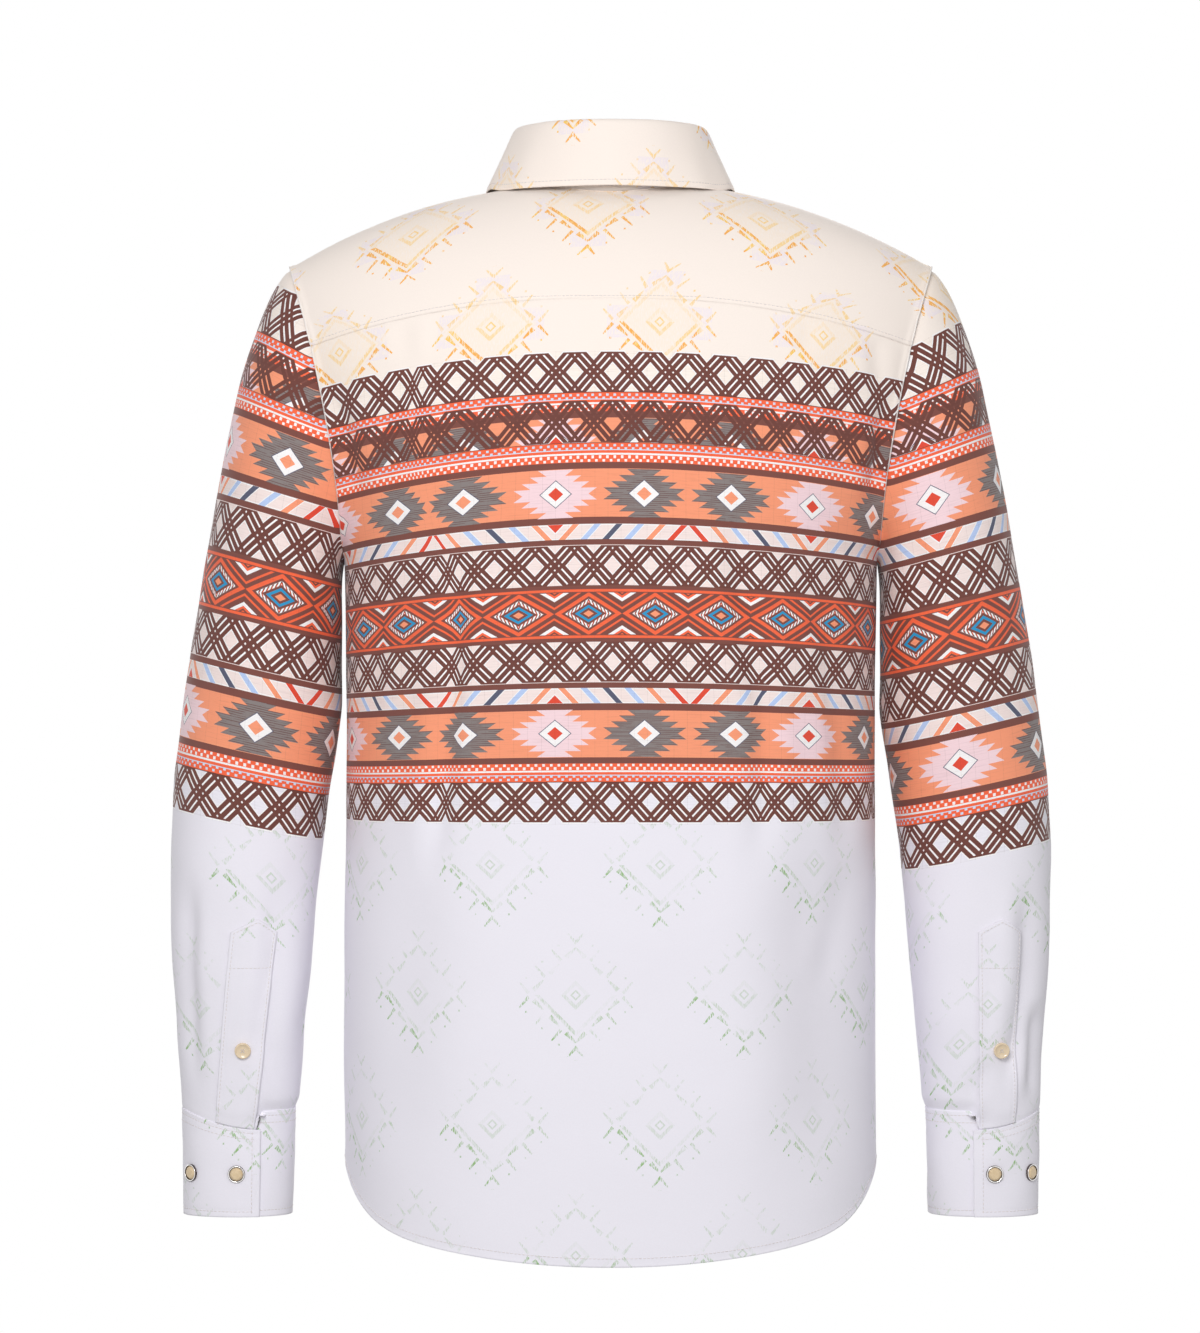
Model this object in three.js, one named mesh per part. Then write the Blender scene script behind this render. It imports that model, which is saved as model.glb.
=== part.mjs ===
// Western snap shirt in its worn form: yoke, collar on a stand, long sleeves, lapped cuffs, pearl snaps.
// Millimetres, +Z up. The wearer faces -Y and the wearer's left arm is on +X.
// The origin is the middle of the neck base, level with the neck points of the shoulders.
import * as THREE from 'three';

// Driving dimensions: cloth
const WALL = 1.5;
const BAND_WALL = 1.8;
const PLACKET_WALL = 1.2;
const PLACKET_LIFT = 1.8;
const GAP = 0.4;

// Driving dimensions: shoulders and armholes
const RIDGE_Z = 7;
const CHEST_Z = -242;
const SHOULDER_TIP = { x: 224.5, z: -53 };
const UNDERARM = { x: 186, z: -258 };
const DROOP_LOW = 16;
const DROOP_CURVE = 2.6;
const DROOP_ENDS_Z = -440;
const ROW_CURVE = 2.2;
const RING_ROUNDNESS = 2.4;
const OVAL_ROUNDNESS = 2.2;
const BACK = { sign: 1, depth: 128, roundness: 2.5, armhole: 68, scoop: 9 };
const FRONT = { sign: -1, depth: 122, roundness: 2.0, armhole: 60, scoop: 16 };

// Driving dimensions: body tube and shirt-tail hem
const TORSO = [
  { z: -258, halfWidth: 186, back: 128, front: 122 },
  { z: -340, halfWidth: 184.5, back: 130, front: 124 },
  { z: -440, halfWidth: 184.5, back: 128, front: 122 },
  { z: -560, halfWidth: 185, back: 127, front: 121 },
  { z: -760, halfWidth: 186, back: 129, front: 123 },
];
const HEM_STARTS_Z = -600;
const SIDE_HEM_Z = -676;
const TAIL = { back: { drop: 60, round: 25 }, front: { drop: 48, round: 20 } };
const HEM_CORNER = 12;

// Driving dimensions: yoke, neck and collar
const YOKE_SEAM_ANGLE = 67.5;
const FRONT_SEAM_ANGLE = 30;
const NECK = { halfWidth: 66, back: 55, front: -78, seamAngle: 97, column: 0.3 };
const STAND_TOP = { halfWidth: 64, back: 53, front: -74, backZ: 41, frontZ: -14, levelTo: 80, dropsOver: 110 };
const STAND_END = 188;
const STAND_LIFT = 0.6;
const FOLD_ROLL = 4;
const LEAF_END = 172;
const LEAF_LIFT = 3;
const LEAF_RESTS_FROM = 0.4;
const LEAF_EDGE = [
  { turn: 0, x: 0, y: 66, z: -0.5 },
  { turn: 0.14, x: 35, y: 59, z: -0.5 },
  { turn: 0.28, x: 65, y: 43, z: 0.8 },
  { turn: 0.42, x: 83, y: 17, z: 0 },
  { turn: 0.55, x: 89, y: -12, z: 0 },
  { turn: 0.7, x: 88, y: -46, z: 0 },
  { turn: 0.85, x: 80, y: -75, z: 0 },
  { turn: 1, x: 66, y: -96, z: 0 },
];

// Driving dimensions: front lap
const LAP = { halfWidth: 19, edge: 17.5, topDrop: 3 };
const FRONT_SNAPS = { first: -98, spacing: 92, count: 6 };

// Driving dimensions: sleeves, one row for each section from the armhole to the cuff
const SLEEVE = [
  { outX: 225, outZ: -53.1, inX: 186.5, inZ: -258.8, back: 68, front: 60, scoop: 1 },
  { outX: 231, outZ: -59.3, inX: 187, inZ: -261.5, back: 68.6, front: 61, scoop: 0.75 },
  { outX: 238, outZ: -70.5, inX: 187.4, inZ: -264.5, back: 69, front: 62, scoop: 0.55 },
  { outX: 247.5, outZ: -95, inX: 187.8, inZ: -270, back: 70, front: 64, scoop: 0.3 },
  { outX: 257, outZ: -122, inX: 188, inZ: -278, back: 70.5, front: 66, scoop: 0.15 },
  { outX: 266, outZ: -165, inX: 188, inZ: -291, back: 70, front: 67, scoop: 0.05 },
  { outX: 276.5, outZ: -216, inX: 188, inZ: -310, back: 68.5, front: 67, scoop: 0 },
  { outX: 286, outZ: -270, inX: 187.6, inZ: -336, back: 66, front: 66, scoop: 0 },
  { outX: 294, outZ: -320, inX: 187.4, inZ: -363, back: 64, front: 64.5, scoop: 0 },
  { outX: 306, outZ: -410, inX: 196.5, inZ: -421, back: 59, front: 61, scoop: 0 },
  { outX: 308.5, outZ: -460, inX: 202, inZ: -462, back: 55.5, front: 59, scoop: 0 },
  { outX: 307.5, outZ: -510, inX: 206.5, inZ: -510, back: 51, front: 56, scoop: 0 },
  { outX: 304.5, outZ: -560, inX: 211, inZ: -560, back: 45.5, front: 53, scoop: 0 },
  { outX: 301.5, outZ: -605, inX: 215, inZ: -605, back: 38.5, front: 50, scoop: 0 },
  { outX: 300, outZ: -640, inX: 218.5, inZ: -640, back: 31, front: 47, scoop: 0 },
];
const SLEEVE_STEP = 15;

// Driving dimensions: cuffs and sleeve plackets
const CUFF = { topZ: -640.4, bottomZ: -714, lapDrop: 13, lapTurn: 100, underShift: 2.3, turns: 452 };
const CUFF_END = { outX: 299, inX: 220.5, back: 30, front: 46 };
const CUFF_LEFT = { side: 1, freeEdge: 112, snaps: [90, 38], placket: [71, 107], placketLean: 15 };
const CUFF_RIGHT = { side: -1, freeEdge: 100, snaps: [82, 36], placket: [60, 94], placketLean: 0 };
const CUFF_SNAP_Z = -684;
const PLACKET = { pointZ: -506, shoulderZ: -515, buttonZ: -597, rows: [-537, -560, -582, -605, -628] };

// Driving dimensions: trims
const SNAP = { ringRadius: 6, pearlRadius: 4.6, ringHeight: 1.6, domeHeight: 2.3, seat: 0.3 };
const BUTTON = { radius: 5.6, thickness: 2.2, dish: 0.5, rim: 1.3 };
const TRIM_SIDES = 12;

// Materials
const finishes = {
  cream: new THREE.MeshStandardMaterial({ color: 0xf5ece2, roughness: 0.85, metalness: 0 }),
  print: new THREE.MeshStandardMaterial({ color: 0xd9b8ac, roughness: 0.85, metalness: 0 }),
  chrome: new THREE.MeshStandardMaterial({ color: 0xc8c8cc, roughness: 0.25, metalness: 1 }),
  pearl: new THREE.MeshStandardMaterial({ color: 0xd8c294, roughness: 0.25, metalness: 0 }),
  button: new THREE.MeshStandardMaterial({ color: 0xe0d2b4, roughness: 0.35, metalness: 0 }),
};

// Small maths
const radians = THREE.MathUtils.degToRad;
const mix = THREE.MathUtils.lerp;
const point = (x, y, z) => new THREE.Vector3(x, y, z);
const smooth = (value) => THREE.MathUtils.smoothstep(value, 0, 1);
const signedPower = (value, exponent) => Math.sign(value) * Math.abs(value) ** exponent;
const roundCos = (angle, roundness) => signedPower(Math.cos(radians(angle)), 2 / roundness);
const roundSin = (angle, roundness) => signedPower(Math.sin(radians(angle)), 2 / roundness);

function solve(low, high, isBelow) {
  for (let step = 0; step < 50; step += 1) {
    const middle = (low + high) / 2;
    if (isBelow(middle)) low = middle;
    else high = middle;
  }
  return (low + high) / 2;
}

function tableAt(table, key, value, rising) {
  const isPast = (row) => (rising ? value > row[key] : value < row[key]);
  let index = 0;
  while (index < table.length - 2 && isPast(table[index + 1])) index += 1;
  const above = table[index];
  const below = table[index + 1];
  const share = (value - above[key]) / (below[key] - above[key]);
  const found = {};
  for (const name of Object.keys(above)) found[name] = mix(above[name], below[name], share);
  return found;
}

// A sheet is a grid of points on the outer face, made into a closed wall of one thickness
function faceNormal(grid, row, column, closed) {
  const columns = grid[row].length;
  const before = closed ? (column + columns - 1) % columns : Math.max(column - 1, 0);
  const after = closed ? (column + 1) % columns : Math.min(column + 1, columns - 1);
  const across = grid[row][after].clone().sub(grid[row][before]);
  const along = grid[Math.min(row + 1, grid.length - 1)][column].clone();
  along.sub(grid[Math.max(row - 1, 0)][column]);
  return across.cross(along).normalize();
}

function raised(grid, distance, { closed = false, flip = false } = {}) {
  const way = flip ? -distance : distance;
  return grid.map((line, row) => line.map((place, column) => (
    place.clone().addScaledVector(faceNormal(grid, row, column, closed), way)
  )));
}

function sheet(name, grid, wall, material, { closed = false, flip = false } = {}) {
  const rows = grid.length;
  const columns = grid[0].length;
  const inner = raised(grid, -wall, { closed, flip });
  const positions = [...grid.flat(), ...inner.flat()].flatMap((place) => place.toArray());
  const outerAt = (row, column) => row * columns + (column % columns);
  const innerAt = (row, column) => rows * columns + outerAt(row, column);
  const triangles = [];
  const quad = (a, b, c, d) => triangles.push(a, b, c, a, c, d);
  const lastColumn = closed ? columns : columns - 1;
  for (let row = 0; row < rows - 1; row += 1) {
    for (let column = 0; column < lastColumn; column += 1) {
      const next = column + 1;
      quad(outerAt(row, column), outerAt(row, next), outerAt(row + 1, next), outerAt(row + 1, column));
      triangles.push(innerAt(row, column), innerAt(row + 1, next), innerAt(row, next));
      triangles.push(innerAt(row, column), innerAt(row + 1, column), innerAt(row + 1, next));
    }
    if (!closed) {
      quad(outerAt(row, 0), outerAt(row + 1, 0), innerAt(row + 1, 0), innerAt(row, 0));
      const last = columns - 1;
      quad(outerAt(row + 1, last), outerAt(row, last), innerAt(row, last), innerAt(row + 1, last));
    }
  }
  for (let column = 0; column < lastColumn; column += 1) {
    const end = rows - 1;
    quad(outerAt(0, column + 1), outerAt(0, column), innerAt(0, column), innerAt(0, column + 1));
    quad(outerAt(end, column), outerAt(end, column + 1), innerAt(end, column + 1), innerAt(end, column));
  }
  if (flip) {
    for (let first = 0; first < triangles.length; first += 3) {
      [triangles[first + 1], triangles[first + 2]] = [triangles[first + 2], triangles[first + 1]];
    }
  }
  const geometry = new THREE.BufferGeometry();
  geometry.setAttribute('position', new THREE.Float32BufferAttribute(positions, 3));
  geometry.setIndex(triangles);
  const mesh = new THREE.Mesh(geometry, material);
  mesh.name = name;
  return mesh;
}

// The body's form is a stack of rows, each from the middle of the back or front to its outer end.
// Above the underarm the outer end is on the armhole's oval, below it on the side seam.
function armholeEnd(panel, angle) {
  const along = roundCos(angle, OVAL_ROUNDNESS);
  const across = Math.abs(roundSin(angle, OVAL_ROUNDNESS));
  return {
    x: mix(UNDERARM.x, SHOULDER_TIP.x, (along + 1) / 2) - panel.scoop * across ** 2,
    y: panel.armhole * across,
    z: mix(UNDERARM.z, SHOULDER_TIP.z, (along + 1) / 2),
  };
}

function rowDroop(height) {
  return mix(DROOP_LOW, RIDGE_Z - SHOULDER_TIP.z, height ** DROOP_CURVE);
}

function upperRow(panel, height) {
  const middleZ = mix(CHEST_Z, RIDGE_Z, height);
  const endZ = middleZ - rowDroop(height);
  const along = 2 * ((endZ - UNDERARM.z) / (SHOULDER_TIP.z - UNDERARM.z)) - 1;
  const angle = Math.acos(Math.max(-1, Math.min(1, signedPower(along, OVAL_ROUNDNESS / 2))));
  const middleY = panel.depth * (1 - height ** panel.roundness) ** (1 / panel.roundness);
  return { panel, middleY, middleZ, end: armholeEnd(panel, THREE.MathUtils.radToDeg(angle)) };
}

function torsoRow(panel, endZ) {
  const ring = tableAt(TORSO, 'z', endZ, false);
  const fade = THREE.MathUtils.clamp((endZ - DROOP_ENDS_Z) / (UNDERARM.z - DROOP_ENDS_Z), 0, 1);
  return {
    panel,
    middleY: panel === BACK ? ring.back : ring.front,
    middleZ: endZ + DROOP_LOW * fade,
    end: { x: ring.halfWidth, y: 0, z: endZ },
  };
}

// A row is a rounded ring in plan, cut where it meets the armhole
function rowPoint(row, across) {
  const share = Math.min(Math.abs(across), 1);
  const cut = row.middleY > 0 ? 1 - (row.end.y / row.middleY) ** RING_ROUNDNESS : 1;
  const bulge = Math.max(0, 1 - cut * share ** RING_ROUNDNESS) ** (1 / RING_ROUNDNESS);
  return point(
    across * row.end.x,
    row.panel.sign * row.middleY * bulge,
    mix(row.middleZ, row.end.z, share ** ROW_CURVE),
  );
}

function hemPoint(panel, across, share) {
  const tail = panel === BACK ? TAIL.back : TAIL.front;
  const width = Math.min(Math.abs(across), 1);
  const rise = tail.round * width ** 2 + (tail.drop - tail.round) * width ** HEM_CORNER;
  const z = mix(HEM_STARTS_Z, SIDE_HEM_Z - tail.drop + rise, share);
  return rowPoint(torsoRow(panel, z), across).setZ(z);
}

function heightAtEnd(endZ) {
  return solve(0, 1, (height) => mix(CHEST_Z, RIDGE_Z, height) - rowDroop(height) < endZ);
}

// The angle over the shoulder: 0 at the chest behind, 90 on the ridge, 180 at the chest in front
function angleOver(panel, height) {
  const angle = THREE.MathUtils.radToDeg(Math.asin(Math.min(1, height) ** (panel.roundness / 2)));
  return panel === BACK ? angle : 180 - angle;
}

function rowOver(angle) {
  const panel = angle <= 90 ? BACK : FRONT;
  return upperRow(panel, roundSin(angle, panel.roundness));
}

// A place on the body's form above the chest, found from its plan
function formPlace(x, y) {
  const panel = y >= 0 ? BACK : FRONT;
  const acrossAt = (height) => x / upperRow(panel, height).end.x;
  const height = solve(0, 1, (value) => (
    Math.abs(rowPoint(upperRow(panel, value), acrossAt(value)).y) > Math.abs(y)
  ));
  const across = acrossAt(height);
  return { across, over: angleOver(panel, height), place: rowPoint(upperRow(panel, height), across) };
}

function formLifted(x, y, lift) {
  const reach = 2;
  const across = formPlace(x + reach, y).place.sub(formPlace(x - reach, y).place);
  const along = formPlace(x, y + reach).place.sub(formPlace(x, y - reach).place);
  return formPlace(x, y).place.addScaledVector(across.cross(along).normalize(), lift);
}

// The neckline is an oval in plan, laid on the form
function neckPlace(turn) {
  const middleY = (NECK.back + NECK.front) / 2;
  const halfDepth = (NECK.back - NECK.front) / 2;
  const angle = radians(turn);
  return formPlace(NECK.halfWidth * Math.sin(angle), middleY + halfDepth * Math.cos(angle));
}

// A place on the form above the chest, found from the front or the back
function chestPlace(panel, x, z) {
  const placeAt = (height) => {
    const row = upperRow(panel, height);
    return rowPoint(row, x / row.end.x);
  };
  return placeAt(solve(0, 1, (height) => placeAt(height).z < z));
}

// Columns across a half of the body, as shares of its width
const NECK_STEPS = 6;
const neckShares = Array.from({ length: NECK_STEPS }, (_, index) => (index + 1) / NECK_STEPS);
const NECK_COLUMNS = neckShares.map((share) => NECK.column * share);
const OUTER_COLUMNS = [0.42, 0.55, 0.68, 0.8, 0.89, 0.95, 0.985, 1];
const bothSides = (shares) => [...shares.map((share) => -share).reverse(), 0, ...shares];
const YOKE_COLUMNS = bothSides([...NECK_COLUMNS, ...OUTER_COLUMNS]);
const BACK_COLUMNS = bothSides([NECK.column / 2, NECK.column, ...OUTER_COLUMNS]);
const TORSO_ROWS = [-258, -292, -340, -385, -440, -515, HEM_STARTS_Z];
const HEM_ROWS = [0.4, 0.8, 1];
const ARMHOLE_ANGLES = [165, 150, 135, 120, 105, 90, 75];

function sideOpened(panel, place, across) {
  if (Math.abs(across) === 1 && Math.abs(place.y) < GAP) place.y = (panel.sign * GAP) / 1.6;
  return place;
}

// Back: from the hem up to the yoke seam
function backGrid() {
  const seamHeight = heightAtEnd(armholeEnd(BACK, YOKE_SEAM_ANGLE).z);
  const rows = [...HEM_ROWS].reverse().map((share) => BACK_COLUMNS.map((across) => (
    sideOpened(BACK, hemPoint(BACK, across, share), across)
  )));
  for (const z of [...TORSO_ROWS].reverse()) {
    const row = torsoRow(BACK, z);
    rows.push(BACK_COLUMNS.map((across) => sideOpened(BACK, rowPoint(row, across), across)));
  }
  for (const angle of ARMHOLE_ANGLES) {
    const row = upperRow(BACK, heightAtEnd(armholeEnd(BACK, angle).z));
    rows.push(BACK_COLUMNS.map((across) => rowPoint(row, across)));
  }
  const seam = upperRow(BACK, seamHeight - GAP / (RIDGE_Z - CHEST_Z));
  rows.push(BACK_COLUMNS.map((across) => rowPoint(seam, across)));
  return rows;
}

// Upper edge shared by the yoke and the fronts: round the neck, then along the front shoulder seam
function shoulderSeam(share) {
  const neckEnd = neckPlace(NECK.seamAngle);
  const armholeOver = angleOver(FRONT, heightAtEnd(armholeEnd(FRONT, FRONT_SEAM_ANGLE).z));
  const outward = (share - NECK.column) / (1 - NECK.column);
  return { across: mix(neckEnd.across, 1, outward), over: mix(neckEnd.over, armholeOver, outward) };
}

function yokeTop(share) {
  if (share <= NECK.column) return neckPlace((NECK.seamAngle * share) / NECK.column);
  return shoulderSeam(share);
}

// Yoke: from its back seam over the shoulders to the front shoulder seams and the neckline
function yokeGrid() {
  const seamHeight = heightAtEnd(armholeEnd(BACK, YOKE_SEAM_ANGLE).z) + GAP / (RIDGE_Z - CHEST_Z) / 2;
  const start = angleOver(BACK, seamHeight);
  const ends = [YOKE_SEAM_ANGLE, 60, 45, 30, 15, 0, -15, -FRONT_SEAM_ANGLE + 1.2].map((angle) => {
    const panel = angle >= 0 ? BACK : FRONT;
    return angleOver(panel, heightAtEnd(armholeEnd(panel, angle).z));
  });
  const finish = ends[ends.length - 1];
  return ends.map((end) => {
    const share = Math.max(0, (end - ends[0]) / (finish - ends[0]));
    return YOKE_COLUMNS.map((across) => {
      const top = yokeTop(Math.abs(across));
      const row = rowOver(mix(start, top.over, share));
      const place = rowPoint(row, mix(Math.abs(across), top.across, share));
      place.x *= Math.sign(across) || 0;
      return place;
    });
  });
}

// Fronts: from the hem up to the front shoulder seam and the neckline
function frontColumns(lapped) {
  const outer = [0.16, 0.225, NECK.column, ...OUTER_COLUMNS];
  const edge = (LAP.edge + GAP / 2) / UNDERARM.x;
  return lapped ? [-edge + GAP / UNDERARM.x, 0, edge, ...outer] : [edge, ...outer];
}

function frontTop(share) {
  if (share > NECK.column) return shoulderSeam(share);
  const start = LAP.edge / UNDERARM.x;
  const turnAt = (x) => 180 - THREE.MathUtils.radToDeg(Math.asin(x / NECK.halfWidth));
  if (share <= start) return neckPlace(turnAt(share * UNDERARM.x));
  return neckPlace(mix(turnAt(LAP.edge), NECK.seamAngle, (share - start) / (NECK.column - start)));
}

function frontRows(columns) {
  const top = columns.map((share) => frontTop(share));
  const armholeHeights = [...ARMHOLE_ANGLES, 60, 45, FRONT_SEAM_ANGLE].map((angle) => (
    heightAtEnd(armholeEnd(FRONT, angle).z)
  ));
  const topHeight = armholeHeights[armholeHeights.length - 1];
  const rows = [...HEM_ROWS].reverse().map((share) => columns.map((across) => (
    sideOpened(FRONT, hemPoint(FRONT, across, share), across)
  )));
  for (const z of [...TORSO_ROWS].reverse()) {
    const row = torsoRow(FRONT, z);
    rows.push(columns.map((across) => sideOpened(FRONT, rowPoint(row, across), across)));
  }
  for (const height of armholeHeights) {
    const share = height / topHeight;
    rows.push(columns.map((across, index) => {
      const topAt = top[index];
      const topLimit = roundSin(topAt.over, FRONT.roundness) - (GAP * 1.2) / (RIDGE_Z - CHEST_Z);
      const row = upperRow(FRONT, topLimit * share);
      if (across < NECK.column / 2) return rowPoint(row, (across * UNDERARM.x) / row.end.x);
      return rowPoint(row, mix(across, topAt.across, share));
    }));
  }
  return rows;
}

function mirrored(grid) {
  return grid.map((line) => line.map((place) => point(-place.x, place.y, place.z)));
}

// Front lap: a band on the fronts' own rows, moved out
function lapGrid() {
  const columns = [-1, 0, 1].map((side) => (side * LAP.halfWidth) / UNDERARM.x);
  const rows = frontRows(columns);
  for (const place of rows[rows.length - 1]) {
    place.z -= LAP.topDrop;
    place.y = chestPlace(FRONT, place.x, place.z).y;
  }
  return raised(rows, GAP + WALL);
}

// Collar stand: a band round the neck, the right end under the left end at the front
const BACK_TURNS = neckShares.map((share) => NECK.seamAngle * share);
const STAND_TURNS = bothSides([...BACK_TURNS, 120, 142, 165, 178, STAND_END]);

function standPoint(turn, share) {
  const base = neckPlace(turn).place;
  base.z += STAND_LIFT;
  const plan = (end, angle) => point(
    end.halfWidth * Math.sin(radians(angle)),
    (end.back + end.front) / 2 + ((end.back - end.front) / 2) * Math.cos(radians(angle)),
    mix(end.backZ, end.frontZ, smooth((Math.abs(angle) - end.levelTo) / end.dropsOver)),
  );
  const top = plan(STAND_TOP, turn);
  const place = base.lerp(top, share);
  const under = turn < 0 ? smooth((-turn - 130) / 35) * (BAND_WALL + GAP) : 0;
  const centreY = (NECK.back + NECK.front) / 2;
  const outward = point(place.x, place.y - centreY, 0).normalize();
  return place.addScaledVector(outward, -GAP - under);
}

// Collar leaf: rolls over the top of the stand and falls to its edge and points
function leafEdge(turn) {
  const found = tableAt(LEAF_EDGE, 'turn', Math.abs(turn), true);
  const x = found.x * (Math.sign(turn) || 1);
  return Math.abs(turn) > LEAF_RESTS_FROM ? formLifted(x, found.y, LEAF_LIFT) : point(x, found.y, found.z);
}

function leafGrid() {
  const steps = Array.from({ length: 33 }, (_, index) => (index - 16) / 16);
  const columns = steps.map((turn) => {
    const angle = turn * LEAF_END;
    const top = standPoint(angle, 1);
    const centreY = (NECK.back + NECK.front) / 2;
    const outward = point(top.x, top.y - centreY, 0).normalize();
    const edge = leafEdge(turn);
    const crest = top.clone().addScaledVector(outward, FOLD_ROLL / 2);
    crest.z += FOLD_ROLL;
    const start = top.clone().addScaledVector(outward, -BAND_WALL / 2);
    start.z += GAP + BAND_WALL;
    const shoulder = top.clone().addScaledVector(outward, FOLD_ROLL + 1.5);
    shoulder.z += FOLD_ROLL / 4;
    const low = [0.3, 0.65, 1].map((share) => shoulder.clone().lerp(edge, share));
    return [start, crest, shoulder, ...low];
  });
  return columns[0].map((_, row) => columns.map((line) => line[row]));
}

// Sleeves: rings from the armhole's oval to the cuff
function sleeveAngles() {
  const even = Array.from({ length: 360 / SLEEVE_STEP }, (_, index) => index * SLEEVE_STEP);
  return [...even, YOKE_SEAM_ANGLE].sort((a, b) => a - b);
}

function ringPoint(ring, angle) {
  const along = roundCos(angle, OVAL_ROUNDNESS);
  const across = roundSin(angle, OVAL_ROUNDNESS);
  const panel = across >= 0 ? BACK : FRONT;
  const share = (along + 1) / 2;
  return point(
    mix(ring.inX, ring.outX, share) - ring.scoop * panel.scoop * across ** 2,
    (across >= 0 ? ring.back : ring.front) * across,
    mix(ring.inZ, ring.outZ, share),
  );
}

function cuffTop(lap, angle) {
  const turned = lap.freeEdge - angle;
  return CUFF.topZ - CUFF.lapDrop * (1 - smooth(turned / CUFF.lapTurn));
}

function sleevePoint(lap, index, angle) {
  const place = ringPoint(SLEEVE[index], angle);
  const underLap = angle > 0 && angle < lap.freeEdge - 3;
  if (index === SLEEVE.length - 1 && underLap) place.z = cuffTop(lap, angle) + GAP;
  place.x *= lap.side;
  return place;
}

function sleeveGrid(lap) {
  const angles = sleeveAngles();
  return SLEEVE.map((ring, index) => angles.map((angle) => sleevePoint(lap, index, angle)));
}

function sleevePlace(lap, angle, z) {
  const place = (index) => sleevePoint(lap, index, angle);
  let index = 0;
  while (index < SLEEVE.length - 2 && place(index + 1).z > z) index += 1;
  const share = (z - place(index).z) / (place(index + 1).z - place(index).z);
  return place(index).lerp(place(index + 1), share);
}

// Cuffs: a band that starts at its free edge, goes once round and ends under itself
function cuffPoint(lap, turned, z) {
  const angle = lap.freeEdge - turned;
  const top = SLEEVE[SLEEVE.length - 1];
  const down = (z - CUFF.topZ) / (CUFF.bottomZ - CUFF.topZ);
  const ring = {
    outX: mix(top.outX, CUFF_END.outX, down),
    inX: mix(top.inX, CUFF_END.inX, down),
    back: mix(top.back, CUFF_END.back, down),
    front: mix(top.front, CUFF_END.front, down),
    outZ: z,
    inZ: z,
    scoop: 0,
  };
  const place = ringPoint(ring, angle);
  const centre = point((ring.outX + ring.inX) / 2, 0, z);
  const under = smooth((turned - 200) / 110) * CUFF.underShift;
  place.addScaledVector(centre.sub(place).normalize(), under);
  place.x *= lap.side;
  return place;
}

function cuffGrid(lap) {
  const steps = Array.from({ length: 32 }, (_, index) => (CUFF.turns * index) / 31);
  return [0, 0.5, 1].map((share) => steps.map((turned) => {
    const top = turned < 180 ? cuffTop(lap, lap.freeEdge - turned) : CUFF.topZ;
    return cuffPoint(lap, turned, mix(top, CUFF.bottomZ, share));
  }));
}

// Sleeve plackets: a pointed strip on the sleeve's own form, moved out
const placketAngle = (lap, angle, z) => (
  angle + (lap.placketLean * (z - CUFF.topZ)) / (PLACKET.pointZ - CUFF.topZ)
);

function placketGrid(lap) {
  const [first, last] = lap.placket;
  const middle = (first + last) / 2;
  const inside = sleeveAngles().filter((angle) => angle > first + 2 && angle < last - 2);
  const angles = [first, ...inside, last];
  const placed = (angle, z) => sleevePlace(lap, placketAngle(lap, angle, z), z);
  const pointedTop = angles.map((angle) => {
    const share = Math.abs(angle - middle) / (last - middle);
    return placed(angle, mix(PLACKET.pointZ, PLACKET.shoulderZ, share));
  });
  const strip = [pointedTop, ...PLACKET.rows.map((z) => angles.map((angle) => placed(angle, z)))];
  strip.push(angles.map((angle) => sleevePoint(lap, SLEEVE.length - 1, Math.min(angle, lap.freeEdge - 4))));
  return raised(strip, PLACKET_LIFT, { flip: lap.side > 0 });
}

// Trims: a snap is a pearl in a ring, and its axis is the cloth's normal
function turned(profile) {
  const points = profile.map(([radius, height]) => new THREE.Vector2(radius, height));
  return new THREE.LatheGeometry(points, TRIM_SIDES).rotateX(Math.PI / 2);
}

function ringShape() {
  const inside = SNAP.pearlRadius + GAP / 2;
  return turned([
    [inside, 0],
    [SNAP.ringRadius, 0],
    [SNAP.ringRadius, SNAP.ringHeight * 0.5],
    [SNAP.ringRadius - 0.6, SNAP.ringHeight],
    [inside, SNAP.ringHeight],
    [inside, 0],
  ]);
}

function pearlShape() {
  const radius = SNAP.pearlRadius;
  return turned([
    [0, 0],
    [radius, 0],
    [radius, SNAP.ringHeight * 0.6],
    [radius * 0.7, SNAP.domeHeight * 0.9],
    [0, SNAP.domeHeight],
  ]);
}

function buttonShape() {
  return turned([
    [0, 0],
    [BUTTON.radius - 0.5, 0],
    [BUTTON.radius, BUTTON.thickness / 2],
    [BUTTON.radius - 0.4, BUTTON.thickness],
    [BUTTON.radius - BUTTON.rim, BUTTON.thickness - BUTTON.dish],
    [0, BUTTON.thickness - BUTTON.dish],
  ]);
}

function seated(name, geometry, material, place, normal) {
  const mesh = new THREE.Mesh(geometry, material);
  mesh.name = name;
  mesh.position.copy(place).addScaledVector(normal, SNAP.seat);
  mesh.quaternion.setFromUnitVectors(point(0, 0, 1), normal);
  return mesh;
}

function snap(name, place, normal) {
  const group = new THREE.Group();
  group.add(seated(`${name}_ring`, ringShape(), finishes.chrome, place, normal));
  group.add(seated(`${name}_pearl`, pearlShape(), finishes.pearl, place, normal));
  return group;
}

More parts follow.
